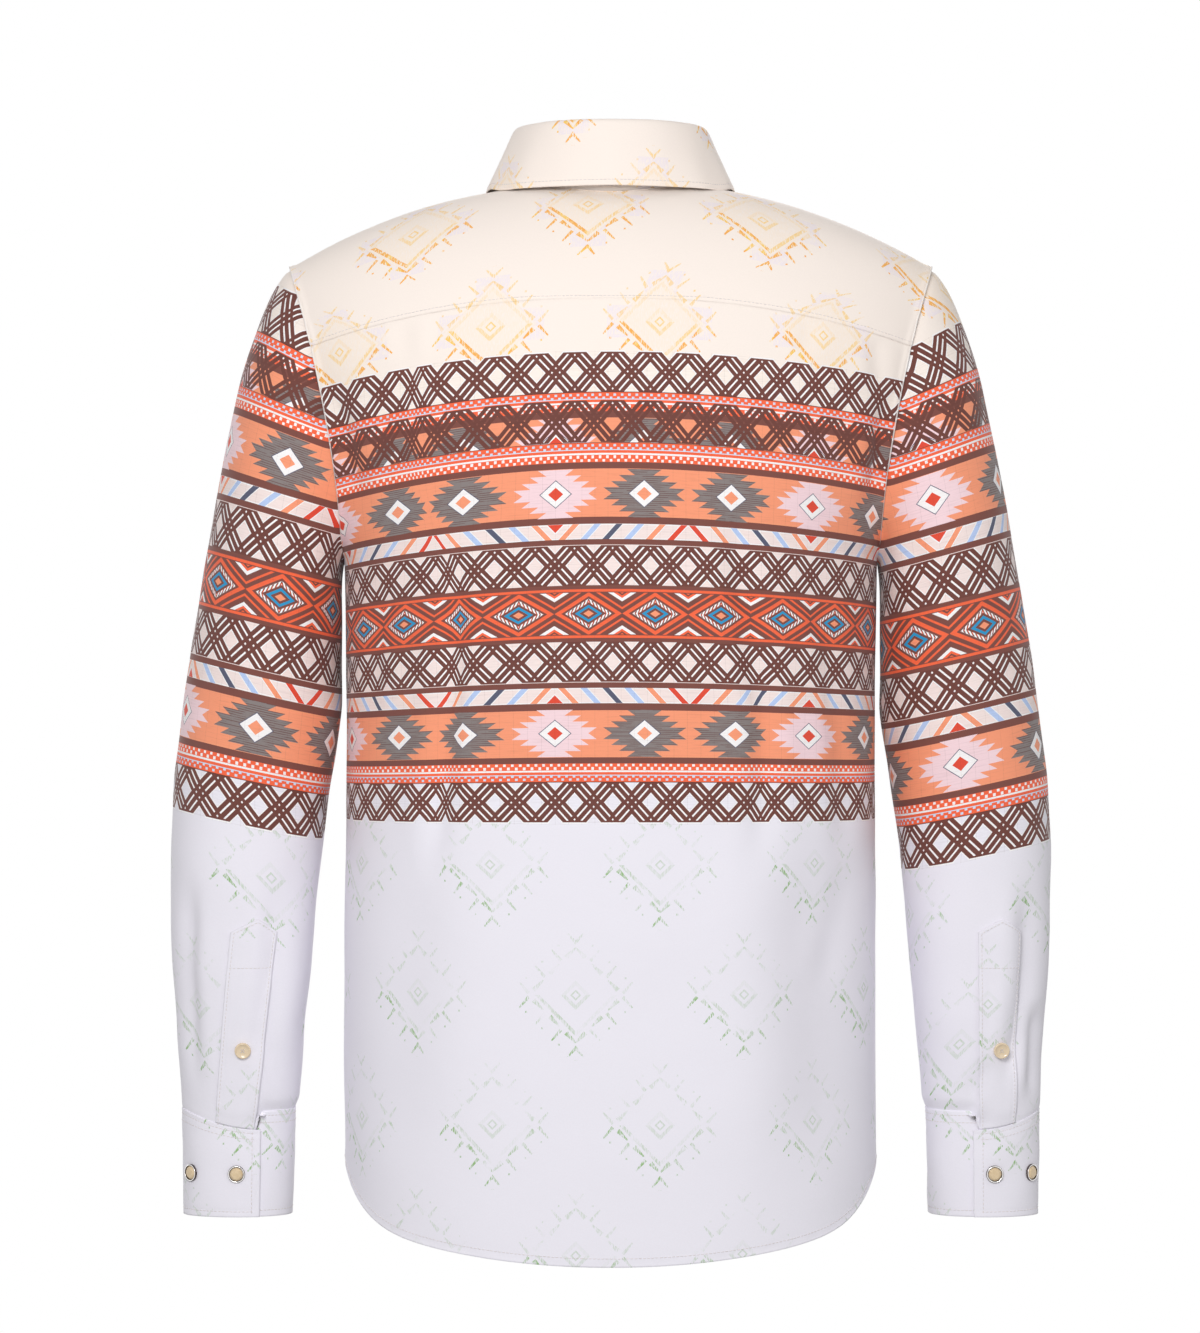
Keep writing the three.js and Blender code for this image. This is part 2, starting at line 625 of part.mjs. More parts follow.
// Assembly
const shirt = new THREE.Group();
shirt.add(sheet('back', backGrid(), WALL, finishes.print, { flip: true }));
shirt.add(sheet('yoke', yokeGrid(), WALL, finishes.cream, { flip: true }));
const leftFront = frontRows(frontColumns(false));
const rightFront = mirrored(frontRows(frontColumns(true)));
shirt.add(sheet('front_left', leftFront, WALL, finishes.print));
shirt.add(sheet('front_right', rightFront, WALL, finishes.print, { flip: true }));
const lap = lapGrid();
shirt.add(sheet('front_band', lap, WALL, finishes.print));
const standRows = [0, 0.5, 1].map((share) => STAND_TURNS.map((turn) => standPoint(turn, share)));
shirt.add(sheet('collar_stand', standRows, BAND_WALL, finishes.cream, { flip: true }));
shirt.add(sheet('collar', leafGrid(), BAND_WALL, finishes.cream));

for (const cuff of [CUFF_LEFT, CUFF_RIGHT]) {
  const sideName = cuff.side > 0 ? 'left' : 'right';
  const flip = cuff.side > 0;
  shirt.add(sheet(`sleeve_${sideName}`, sleeveGrid(cuff), WALL, finishes.print, { closed: true, flip }));
  shirt.add(sheet(`cuff_${sideName}`, cuffGrid(cuff), BAND_WALL, finishes.cream, { flip: !flip }));
  shirt.add(sheet(`placket_${sideName}`, placketGrid(cuff), PLACKET_WALL, finishes.print, { flip }));
  cuff.snaps.forEach((angle, index) => {
    const at = (turnShift, drop) => cuffPoint(cuff, cuff.freeEdge - angle + turnShift, CUFF_SNAP_Z - drop);
    const normal = at(4, 0).sub(at(-4, 0)).cross(at(0, 4).sub(at(0, -4))).normalize();
    if (normal.y < 0) normal.negate();
    shirt.add(snap(`cuff_${sideName}_snap_${index + 1}`, at(0, 0), normal));
  });
  const buttonAngle = placketAngle(cuff, (cuff.placket[0] + cuff.placket[1]) / 2, PLACKET.buttonZ);
  const on = (angle, z) => sleevePlace(cuff, buttonAngle + angle, z);
  const z = PLACKET.buttonZ;
  const normal = on(3, z).sub(on(-3, z)).cross(on(0, z + 4).sub(on(0, z - 4))).normalize();
  if (normal.y < 0) normal.negate();
  const place = on(0, z).addScaledVector(normal, PLACKET_LIFT);
  shirt.add(seated(`placket_${sideName}_button`, buttonShape(), finishes.button, place, normal));
}

for (let index = 0; index < FRONT_SNAPS.count; index += 1) {
  const z = FRONT_SNAPS.first - index * FRONT_SNAPS.spacing;
  const lower = lap.findLastIndex((line) => line[1].z < z);
  const run = lap[lower + 1][1].clone().sub(lap[lower][1]);
  const place = lap[lower][1].clone().addScaledVector(run, (z - lap[lower][1].z) / run.z);
  shirt.add(snap(`front_snap_${index + 1}`, place, point(0, -run.z, run.y).normalize()));
}
const standFront = standPoint(180, 0.5);
const standLean = standPoint(180, 1).sub(standPoint(180, 0));
const standNormal = point(1, 0, 0).cross(standLean).normalize();
if (standNormal.y > 0) standNormal.negate();
shirt.add(snap('stand_snap', standFront, standNormal));

export default shirt;
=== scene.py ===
import math
import bpy
import numpy as np
from mathutils import Matrix, Vector, noise


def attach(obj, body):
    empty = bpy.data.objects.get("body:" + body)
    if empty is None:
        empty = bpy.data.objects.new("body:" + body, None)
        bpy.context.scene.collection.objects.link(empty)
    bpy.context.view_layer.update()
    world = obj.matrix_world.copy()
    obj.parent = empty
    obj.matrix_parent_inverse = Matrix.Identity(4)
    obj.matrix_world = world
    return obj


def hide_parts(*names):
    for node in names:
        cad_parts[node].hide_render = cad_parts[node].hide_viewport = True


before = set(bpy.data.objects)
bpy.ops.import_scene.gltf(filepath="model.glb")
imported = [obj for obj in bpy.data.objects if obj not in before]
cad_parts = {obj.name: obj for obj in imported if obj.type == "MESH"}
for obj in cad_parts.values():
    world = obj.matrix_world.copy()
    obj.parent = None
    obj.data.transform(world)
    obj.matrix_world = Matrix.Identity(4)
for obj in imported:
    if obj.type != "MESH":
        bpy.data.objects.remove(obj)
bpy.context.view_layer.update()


# Back panel
# The back is one piece of smooth printed cotton, cut with a curved tail and armholes. It hangs from the
# yoke seam in soft upright folds. Its hem is turned twice, and its side and armhole edges are sewn in.
MM = 0.001
UNDERARM = (186.0, -258.0)
SHOULDER_TIP = (224.5, -53.0)
RIDGE_Z = 7.0
CHEST_Z = -242.0
DROOP_LOW = 16.0
DROOP_CURVE = 2.6
DROOP_ENDS_Z = -440.0
ROW_CURVE = 2.2
RING_ROUNDNESS = 2.4
OVAL_ROUNDNESS = 2.2
SIDES = {
    "back": {
        "sign": 1, "depth": 128, "roundness": 2.5, "armhole": 68, "scoop": 9, "drop": 60, "round": 25,
    },
    "front": {
        "sign": -1, "depth": 122, "roundness": 2.0, "armhole": 60, "scoop": 16, "drop": 48, "round": 20,
    },
}
TORSO_Z = (-760, -560, -440, -340, -258)
TORSO_HALF_WIDTH = (186, 185, 184.5, 184.5, 186)
TORSO_DEPTH = {"back": (129, 127, 128, 130, 128), "front": (123, 121, 122, 124, 122)}
HEM_STARTS_Z = -600.0
SIDE_HEM_Z = -676.0
HEM_CORNER = 12
YOKE_SEAM_ANGLE = 67.5
CLOTH_STEP = 4.5
EDGE_STEPS = (0, 1.1, 2.2, 3.3, 4.4, 5.5, 6.6, 8.2, 10.2, 13)
CLOTH_WALL = 0.6
TURNED_WALL = 1.2
TURNED_WIDTH = 6.0
SIDE_SEAM_HALF = 0.25
FORM_HEIGHT = RIDGE_Z - CHEST_Z
WAIST_Z = -340
BODY_ROWS = 76
ARMHOLE_ROWS = 46


def mix(first, second, share):
    return first + (second - first) * share


def smooth(value):
    held = np.clip(value, 0, 1)
    return held * held * (3 - 2 * held)


def rounded(value, roundness):
    return math.copysign(abs(value) ** (2 / roundness), value)


def by_edge(distance, reach, over):
    """1 beside an edge of the cloth, and 0 beyond its reach, with a soft change over the last part."""
    return smooth((reach - distance) / over)


def rib(distance, place, width):
    """A soft rib at a place in from an edge, as a turning or a row of stitches makes."""
    return np.exp(-((distance - place) / width) ** 2)


def walked(points, axis=0):
    """Distances along the points from the first of them, over one axis of their grid."""
    steps = np.linalg.norm(np.diff(points, axis=axis), axis=-1)
    start = np.zeros_like(np.take(steps, [0], axis))
    return np.concatenate([start, np.cumsum(steps, axis=axis)], axis=axis)


def solve(low, high, is_below):
    for _ in range(40):
        middle = (low + high) / 2
        if is_below(middle):
            low = middle
        else:
            high = middle
    return (low + high) / 2


def armhole_end(side, angle):
    along = rounded(math.cos(math.radians(angle)), OVAL_ROUNDNESS)
    across = abs(rounded(math.sin(math.radians(angle)), OVAL_ROUNDNESS))
    share = (along + 1) / 2
    x = mix(UNDERARM[0], SHOULDER_TIP[0], share) - SIDES[side]["scoop"] * across ** 2
    return x, SIDES[side]["armhole"] * across, mix(UNDERARM[1], SHOULDER_TIP[1], share)


def row_end_z(height):
    droop = mix(DROOP_LOW, RIDGE_Z - SHOULDER_TIP[1], height ** DROOP_CURVE)
    return mix(CHEST_Z, RIDGE_Z, height) - droop


def upper_row(side, height):
    end_z = row_end_z(height)
    along = 2 * (end_z - UNDERARM[1]) / (SHOULDER_TIP[1] - UNDERARM[1]) - 1
    along = max(-1.0, min(1.0, along))
    angle = math.degrees(math.acos(math.copysign(abs(along) ** (OVAL_ROUNDNESS / 2), along)))
    roundness = SIDES[side]["roundness"]
    middle_y = SIDES[side]["depth"] * max(0, 1 - height ** roundness) ** (1 / roundness)
    return side, middle_y, mix(CHEST_Z, RIDGE_Z, height), armhole_end(side, angle)


def torso_row(side, end_z):
    half_width = np.interp(end_z, TORSO_Z, TORSO_HALF_WIDTH)
    middle_y = np.interp(end_z, TORSO_Z, TORSO_DEPTH[side])
    fade = np.clip((end_z - DROOP_ENDS_Z) / (UNDERARM[1] - DROOP_ENDS_Z), 0, 1)
    return side, middle_y, end_z + DROOP_LOW * fade, (half_width, 0, end_z)


def row_point(row, across):
    side, middle_y, middle_z, end = row
    share = min(abs(across), 1)
    cut = 1 - (end[1] / middle_y) ** RING_ROUNDNESS if middle_y > 0 else 1
    bulge = max(0, 1 - cut * share ** RING_ROUNDNESS) ** (1 / RING_ROUNDNESS)
    y = SIDES[side]["sign"] * middle_y * bulge
    return across * end[0], y, mix(middle_z, end[2], share ** ROW_CURVE)


def hem_point(side, across, share):
    width = min(abs(across), 1)
    drop = SIDES[side]["drop"]
    rise = SIDES[side]["round"] * width ** 2 + (drop - SIDES[side]["round"]) * width ** HEM_CORNER
    z = mix(HEM_STARTS_Z, SIDE_HEM_Z - drop + rise, share)
    x, y, _ = row_point(torso_row(side, z), across)
    return x, y, z


def height_at_end(end_z):
    return solve(0, 1, lambda height: row_end_z(height) < end_z)


def stepped(length, first_edge=True, last_edge=True):
    """Places along a length of cloth, closer together where it is sewn or turned at an end."""
    places = set(np.linspace(0, length, max(2, round(length / CLOTH_STEP))))
    edge = EDGE_STEPS[-1]
    places = {place for place in places if not (first_edge and place < edge)}
    places = {place for place in places if not (last_edge and length - place < edge)}
    places |= set(EDGE_STEPS) if first_edge else {0.0}
    places |= {length - step for step in EDGE_STEPS} if last_edge else {length}
    return np.array(sorted(places))


def even_columns(first_share, first_edge=False):
    """Shares of a panel's half width, evenly spaced on the ring of the waist."""
    shares = np.sin(np.linspace(0, math.pi / 2, 400)) ** (2 / RING_ROUNDNESS)
    arc = walked(np.array([row_point(torso_row("back", WAIST_Z), share) for share in shares]))
    start = np.interp(first_share, shares, arc)
    places = start + stepped(arc[-1] - start, first_edge)
    return np.interp(places, arc, shares)


def side_opened(side, place, across):
    if abs(across) == 1 and abs(place[1]) < SIDE_SEAM_HALF:
        return place[0], SIDES[side]["sign"] * SIDE_SEAM_HALF, place[2]
    return place


def panel_rows(side, columns, top_angle):
    """Rows of a panel from the hem to the row that ends on the armhole at top_angle."""
    rows = []
    hem_drop = HEM_STARTS_Z - SIDE_HEM_Z + SIDES[side]["drop"]
    for place in stepped(hem_drop, True, False):
        share = 1 - place / hem_drop
        rows.append([side_opened(side, hem_point(side, across, share), across) for across in columns])
    for z in np.linspace(HEM_STARTS_Z, UNDERARM[1], BODY_ROWS)[1:]:
        row = torso_row(side, z)
        rows.append([side_opened(side, row_point(row, across), across) for across in columns])
    angles = np.linspace(180, top_angle, ARMHOLE_ROWS)[1:]
    return rows, [height_at_end(armhole_end(side, angle)[2]) for angle in angles]


def relaxed(points, passes, closed=False):
    """The cloth's points, each drawn towards its neighbours, with the edges held."""
    points = np.array(points, float)
    for _ in range(passes):
        if closed:
            beside = (np.roll(points, 1, 1) + np.roll(points, -1, 1))[1:-1]
            points[1:-1] += 0.25 * (beside + points[:-2] + points[2:] - 4 * points[1:-1])
        else:
            inside = points[1:-1, 1:-1]
            around = points[1:-1, :-2] + points[1:-1, 2:] + points[:-2, 1:-1] + points[2:, 1:-1]
            points[1:-1, 1:-1] = inside + 0.2 * (around - 4 * inside)
    return points


def outward(points, axis, closed=False):
    """The way out of the cloth at each point. Axis is a place in plan that the cloth goes round."""
    if closed:
        across = np.roll(points, -1, 1) - np.roll(points, 1, 1)
    else:
        across = np.gradient(points, axis=1)
    way = np.cross(across, np.gradient(points, axis=0))
    way /= np.maximum(np.linalg.norm(way, axis=2, keepdims=True), 1e-9)
    away = points[..., :2] - np.array(axis)
    return way if (away * way[..., :2]).sum() > 0 else -way


def edge_distance(points):
    """Distances along the cloth to its bottom row, top row, first column and last column."""
    below = walked(points)
    left = walked(points, 1)
    return below, below[-1] - below, left, left[:, -1:] - left


OUT_OF_REACH = 1e6
FOLD = {"fades": 0.3, "ridge_at": 1.9, "ridge_half": 1.1, "ridge_high": 0.45, "reach": 4}


def folded(points, folds):
    """How far soft folds move the cloth out. A fold is its line in front view, its width and its depth."""
    plan = points[..., [0, 2]]
    moved = np.zeros(points.shape[:2])
    for line, width, depth in folds:
        line = np.array(line, float)
        best = np.full(moved.shape, OUT_OF_REACH)
        signed = np.zeros(moved.shape)
        share = np.zeros(moved.shape)
        shares = walked(line)
        shares /= shares[-1]
        for index, start in enumerate(line[:-1]):
            run = line[index + 1] - start
            along = np.clip((plan - start) @ run / (run @ run), 0, 1)
            away = plan - start - along[..., None] * run
            distance = np.linalg.norm(away, axis=2)
            nearer = distance < best
            best = np.where(nearer, distance, best)
            beside = (run[0] * away[..., 1] - run[1] * away[..., 0]) / np.linalg.norm(run)
            signed = np.where(nearer, beside, signed)
            share = np.where(nearer, mix(shares[index], shares[index + 1], along), share)
        fade = smooth(share / FOLD["fades"]) * smooth((1 - share) / FOLD["fades"])
        trough = rib(best, 0, width)
        ridge = rib(signed, FOLD["ridge_at"] * width, FOLD["ridge_half"] * width)
        ridge += 0.5 * rib(signed, -FOLD["ridge_at"] * width, FOLD["ridge_half"] * width)
        beside = np.exp(-(best / width / FOLD["reach"]) ** 4)
        moved += depth * fade * (FOLD["ridge_high"] * ridge * beside - trough)
    return moved


def rumpled(points, size, amount):
    """A faint unevenness of worn cloth, of a size and a height in millimetres."""
    flat = points.reshape(-1, 3) / size
    moved = [noise.noise(Vector(place)) for place in flat]
    return amount * np.array(moved).reshape(points.shape[:2])


def placed(name, mesh):
    """An object of the scene for a finished mesh."""
    piece = bpy.data.objects.new(name, mesh)
    bpy.context.scene.collection.objects.link(piece)
    return piece


def sewn(name, points, way, uv, wall, closed=False):
    """The cloth as a closed wall on its outer face's points. uv has one more column where it is closed."""
    rows, columns = points.shape[:2]
    places = np.concatenate([points, points - way * wall], axis=0).reshape(-1, 3) * MM
    last = columns if closed else columns - 1
    row, column = np.meshgrid(np.arange(rows - 1), np.arange(last), indexing="ij")
    row, column = row.ravel(), column.ravel()
    outer = [(row, column, 0), (row, column + 1, 0), (row + 1, column + 1, 0), (row + 1, column, 0)]
    inner = [(r, c, 1) for r, c, _ in reversed(outer)]
    rims = []
    walk = np.arange(last)
    for edge, turn in ((0, 1), (rows - 1, -1)):
        line = np.full(last, edge)
        rim = [(line, walk + 1, 0), (line, walk, 0), (line, walk, 1), (line, walk + 1, 1)]
        rims.append(rim[::turn])
    if not closed:
        walk = np.arange(rows - 1)
        for edge, turn in ((0, 1), (columns - 1, -1)):
            line = np.full(rows - 1, edge)
            rim = [(walk, line, 0), (walk + 1, line, 0), (walk + 1, line, 1), (walk, line, 1)]
            rims.append(rim[::turn])
    corner = np.cross(points[1, 1] - points[1, 0], points[2, 0] - points[1, 0]) @ way[1, 0]
    groups = [outer, inner, *rims]
    if corner < 0:
        groups = [group[::-1] for group in groups]
    faces, corners_uv, kinds = [], [], []
    for kind, group in enumerate(groups):
        index = [(layer * rows + r) * columns + c % columns for r, c, layer in group]
        faces.append(np.stack(index, axis=1))
        corners_uv.append(np.stack([uv[r, c] for r, c, _ in group], axis=1))
        kinds += [kind] * len(group[0][0])
    mesh = bpy.data.meshes.new(name)
    mesh.from_pydata(places.tolist(), [], np.concatenate(faces).tolist())
    layer = mesh.uv_layers.new(name="Grain")
    layer.data.foreach_set("uv", np.concatenate(corners_uv).astype(np.float32).ravel())
    kinds = np.array(kinds)
    mesh.polygons.foreach_set("use_smooth", kinds < 2)
    mesh.polygons.foreach_set("material_index", (kinds == 1).astype(np.int32))
    mesh.materials.append(printed)
    mesh.materials.append(printed_reverse)
    return placed(name, mesh)


def finished(name, points, way, moved, axis, grain, wall=CLOTH_WALL, closed=False):
    """A piece whose cloth is moved out by moved: its points, the way out of them, and its object."""
    points = points + way * moved[..., None]
    way = outward(points, axis, closed)
    return points, way, sewn(name, points, way, grain, wall, closed)


def joined(operation, reflected=False):
    """An operator on a Dye. It adds the Math node that works the operation out."""
    def method(dye, other):
        return dye.sum(operation, other, dye) if reflected else dye.sum(operation, dye, other)

    return method


class Dye:
    """A number or colour that varies over the cloth. A sum on it adds the nodes that work it out."""

    __add__ = joined("ADD")
    __radd__ = joined("ADD", True)
    __sub__ = joined("SUBTRACT")
    __rsub__ = joined("SUBTRACT", True)
    __mul__ = joined("MULTIPLY")
    __rmul__ = joined("MULTIPLY", True)
    __truediv__ = joined("DIVIDE")
    __mod__ = joined("FLOORED_MODULO")
    __lt__ = joined("LESS_THAN")
    __gt__ = joined("GREATER_THAN")
    __and__ = joined("MULTIPLY")
    __or__ = joined("MAXIMUM")

    def __init__(self, socket):
        self.socket = socket

    def node(self, kind, settings, inputs, output=0):
        tree = self.socket.id_data
        made = tree.nodes.new(kind)
        for key, value in settings.items():
            setattr(made, key, value)
        for key, value in inputs.items():
            if isinstance(value, Dye):
                tree.links.new(value.socket, made.inputs[key])
            else:
                made.inputs[key].default_value = value
        return Dye(made.outputs[output])

    def sum(self, operation, *values, clamp=False):
        settings = {"operation": operation, "use_clamp": clamp}
        return self.node("ShaderNodeMath", settings, dict(enumerate(values)))

    def __abs__(self):
        return self.sum("ABSOLUTE", self)

    def __invert__(self):
        return self.sum("SUBTRACT", 1.0, self)

    def near(self, spacing):
        """Distance to the nearest whole multiple of spacing."""
        return self.sum("PINGPONG", self, spacing / 2)

    def between(self, low, high):
        return (self > low) & (self < high)

    def axis(self, index):
        """One axis of this place: 0 is across the cloth, and 1 is up it."""
        return self.node("ShaderNodeSeparateXYZ", {}, {0: self}, index)

    def tinted(self, first, second):
        """The first colour where this is 0, and the second where it is 1."""
        return self.node("ShaderNodeMix", {"data_type": "RGBA"}, {0: self, 6: first, 7: second}, 2)

    def bumped(self, strength):
        """The way out of a surface that has this height, in metres."""
        inputs = {"Height": self, "Strength": strength, "Distance": 1.0}
        return self.node("ShaderNodeBump", {}, inputs)

    def inked(self, mask, colour):
        """This colour with another printed over it where mask is 1."""
        inputs = {0: mask, 6: self, 7: colour}
        return self.node("ShaderNodeMix", {"data_type": "RGBA"}, inputs, 2)

    def speckled(self, scale, detail=2.0, stretch=(1, 1, 1)):
        """Noise from 0 to 1 over this place."""
        place = self.node("ShaderNodeMapping", {}, {"Vector": self, "Scale": stretch})
        return place.node("ShaderNodeTexNoise", {}, {"Vector": place, "Scale": scale, "Detail": detail})


def dyed(red, green, blue):
    """A colour as a photograph shows it, in the linear values that a shader takes."""
    channels = [value / 255 for value in (red, green, blue)]
    linear = [value / 12.92 if value <= 0.04045 else ((value + 0.055) / 1.055) ** 2.4 for value in channels]
    return (*linear, 1.0)


def new_finish(name):
    finish = bpy.data.materials.new(name)
    finish.use_nodes = True
    return finish


def read_grain(finish):
    """The place on the cloth's own grain, in metres."""
    grain = finish.node_tree.nodes.new("ShaderNodeUVMap")
    grain.uv_map = "Grain"
    return Dye(grain.outputs[0])


def read_place(finish):
    return Dye(finish.node_tree.nodes.new("ShaderNodeTexCoord").outputs["Object"])


def coated(finish, inputs):
    """The finish with its shader set. What varies over the piece is linked, and the rest is written."""
    shader = finish.node_tree.nodes["Principled BSDF"]
    for key, value in inputs.items():
        if isinstance(value, Dye):
            finish.node_tree.links.new(value.socket, shader.inputs[key])
        else:
            shader.inputs[key].default_value = value
    return finish


WHITE = dyed(255, 252, 252)
CREAM = dyed(253, 241, 232)
BLUSH = dyed(250, 232, 228)
LILAC = dyed(243, 240, 249)
BROWN = dyed(124, 70, 60)
DARK_BROWN = dyed(98, 50, 42)
CORAL = dyed(255, 158, 118)
ORANGE = dyed(252, 102, 58)
RED = dyed(232, 70, 42)
PINK = dyed(252, 220, 226)
GREY = dyed(136, 126, 124)
BRIGHT_BLUE = dyed(24, 152, 206)
PALE_BLUE = dyed(186, 208, 248)
SKY_WHITE = dyed(214, 230, 250)
SLATE = dyed(84, 88, 112)
GOLD = dyed(253, 206, 96)
BURNT_GOLD = dyed(248, 164, 80)
LAVENDER = dyed(236, 226, 248)
LEAF_GREEN = dyed(150, 190, 128)

REPEAT = 178.0
BANDS_END = 113.6
BANDS_REACH = 150
NESTED_ROW = 14.1
BANDS = (
    (0, BROWN), (NESTED_ROW, ORANGE), (16.4, BROWN), (19.0, BLUSH), (45.9, BROWN), (50.0, BLUSH),
    (60.2, BROWN), (64.6, CORAL), (96.4, BROWN), (100.6, ORANGE), (105.0, WHITE), (106.3, ORANGE),
    (107.9, SKY_WHITE), (108.7, ORANGE), (112.8, DARK_BROWN), (BANDS_END, CREAM),
)
NESTED = (
    (0, CORAL), (0.15, BROWN), (0.27, BRIGHT_BLUE), (0.4, BROWN), (0.52, WHITE), (0.69, BROWN),
    (0.8, ORANGE), (1.0, BROWN), (1.19, ORANGE), (1.3, BROWN), (1.56, WHITE), (1.72, ORANGE),
    (1.84, BROWN), (1.92, ORANGE),
)


def stepped_colours(value, stops, reach):
    """Colours in bands, each from its own value up to the next."""
    made = value.node("ShaderNodeValToRGB", {}, {0: value / reach})
    ramp = made.socket.node.color_ramp
    ramp.interpolation = "CONSTANT"
    ramp.elements.remove(ramp.elements[1])
    for index, (start, colour) in enumerate(stops):
        stop = ramp.elements[0] if index == 0 else ramp.elements.new(start / reach)
        stop.color = colour
    return made


GROUND = {"cream_from": 60, "lilac_to": -100}
COPY = {"from": 113.4, "rise": 32.6, "open_to": 142.0, "lattice_from": 143.5, "print": (113, 174)}
NESTED_HALF = (22.1, 14.4)
TEETH = {"slope": 7, "pitch": 2.6, "brown_from": 1.4, "orange_to": 2.0, "orange_inside": 0.62}
SLANTS = {
    "row": (50.0, 60.2), "middle": 55.1, "border": 4.4, "lean": 0.9, "pitch": 14.56, "half": 2.15,
    "outline": 2.9, "count": 6, "cap_slope": 0.946, "cap": 5.2, "cap_outline": 6.2,
}
STEPPED = {
    "row": (64.6, 96.4), "middle": 80.5, "step": 3.975, "reach": 21.875, "slope": 5.6, "step_in": 10.835,
}
EYE = {"half": (10.1, 8.75), "outline": 1.07, "core": (5.0, 4.45)}
CHECKS = (((103.2, 105.1), (101.1, 102.7), WHITE), ((110.8, 112.3), (108.6, 110.2), SKY_WHITE))
CHECK_HALF = 0.85
LATTICE = {
    "cells": 7, "rise": 14.45, "half": 13.45, "strap": 0.536, "edge": 0.6, "middles": (32.45, 127.0),
    "parted_at": 80, "slot_at": 0.205, "slot_half": 0.058, "slot_from": 0.48, "slot_top": 12.3,
    "rim": (13.45, 14.3), "rim_from": 113, "rim_edge": 0.63,
}
WARP_LINES = {"pitch": 8.75, "half": 0.16}
WEFT_LINES = {"pitch": 1.35, "half": 0.2}


def nested_diamonds(u, shown):
    """The middle row: diamonds one inside the other, with a toothed edge."""
    from_point = (u + REPEAT / 8).near(REPEAT / 4)
    diamond = from_point / NESTED_HALF[0] + shown / NESTED_HALF[1]
    tooth = (from_point + TEETH["slope"] * diamond) % TEETH["pitch"]
    toothed = diamond.between(0.52, 0.69) & (tooth > TEETH["brown_from"])
    orange = toothed & (tooth < TEETH["orange_to"]) & (diamond < TEETH["orange_inside"])
    return stepped_colours(diamond, NESTED, 2).inked(toothed, BROWN).inked(orange, ORANGE)


def slanted_stripes(cloth, u, shown):
    """Slanted stripes in turn, with a white edge, that meet at a small red cap."""
    slanted = (u + REPEAT / 2).near(REPEAT) + SLANTS["lean"] * (shown - SLANTS["middle"])
    from_stripe = abs((slanted % SLANTS["pitch"]) - SLANTS["pitch"] / 2)
    count = slanted / SLANTS["pitch"]
    colour = (count < 1).tinted(CORAL, RED)
    colour = colour.inked(count.between(2, 3) | count.between(4, 5), PALE_BLUE)
    colour = colour.inked(count.between(3, 4), SLATE)
    row = shown.between(*SLANTS["row"])
    whole = row & (count < SLANTS["count"])
    cloth = cloth.inked(row & (abs(shown - SLANTS["middle"]) > SLANTS["border"]), WHITE)
    cloth = cloth.inked(whole & (from_stripe < SLANTS["outline"]), WHITE)
    cloth = cloth.inked(whole & (from_stripe < SLANTS["half"]), colour)
    cap = u.near(REPEAT) + SLANTS["cap_slope"] * (SLANTS["row"][1] - shown)
    cloth = cloth.inked(row & (cap < SLANTS["cap_outline"]), WHITE)
    return cloth.inked(row & (cap < SLANTS["cap"]), RED)


def stepped_medallions(cloth, u, v, shown, streak):
    """Stepped medallions, one pink to two grey ones, each with a diamond eye."""
    from_middle = abs(shown - STEPPED["middle"])
    step = from_middle / STEPPED["step"]
    reach = STEPPED["reach"] + STEPPED["slope"] * step - STEPPED["step_in"] * step.sum("FLOOR", step)
    from_centre = u.near(REPEAT / 3)
    row = shown.between(*STEPPED["row"])
    is_pink = u.near(REPEAT) < REPEAT / 6
    field = row & (from_centre < reach)
    greyed = field & ~is_pink
    weft = (v.near(WEFT_LINES["pitch"]) < WEFT_LINES["half"]) & (0.8 * (streak > 0.46))
    cloth = cloth.inked(field, PINK).inked(greyed, GREY).inked(greyed & weft, DARK_BROWN)
    eye = from_centre / EYE["half"][0] + from_middle / EYE["half"][1]
    cloth = cloth.inked(row & (eye < EYE["outline"]), SLATE).inked(row & (eye < 1.0), WHITE)
    core = row & (from_centre / EYE["core"][0] + from_middle / EYE["core"][1] < 1)
    return cloth.inked(core, CORAL).inked(core & is_pink, RED)


def slotted_lattice(cloth, ground, u, v, streak):
    """Crossed straps with slots along them, outlined in white. The copy shows the bands through it."""
    level = abs(v)
    low, high = LATTICE["middles"]
    up = level - low - (level > LATTICE["parted_at"]) * (high - low)
    up = up - (v > COPY["lattice_from"]) * COPY["rise"]
    half_cell = REPEAT / LATTICE["cells"] / 2
    first = (u / half_cell + up / LATTICE["rise"]).near(2)
    second = (u / half_cell - up / LATTICE["rise"]).near(2)
    nearest = first.sum("MINIMUM", first, second)
    within = abs(up) < LATTICE["half"]
    slot_at, slot_half = LATTICE["slot_at"], LATTICE["slot_half"]
    at_first, at_second = (abs(strap - slot_at) < slot_half for strap in (first, second))
    slots = at_first & (second > LATTICE["slot_from"]) | at_second & (first > LATTICE["slot_from"])
    slots = (slots | at_first & at_second) & (up < LATTICE["slot_top"])
    outlined = nearest.between(LATTICE["strap"], LATTICE["edge"])
    rim = up.between(*LATTICE["rim"]) & (level > LATTICE["rim_from"]) & (nearest < LATTICE["rim_edge"])
    solid = ~v.between(COPY["from"], COPY["open_to"])
    white = within & (slots | outlined) | rim
    cloth = cloth.inked(within & solid, ground).inked(white & solid, WHITE)
    strap = within & (nearest < LATTICE["strap"]) & ~slots
    return cloth.inked(strap, DARK_BROWN).inked(strap & (0.8 * streak), BROWN)


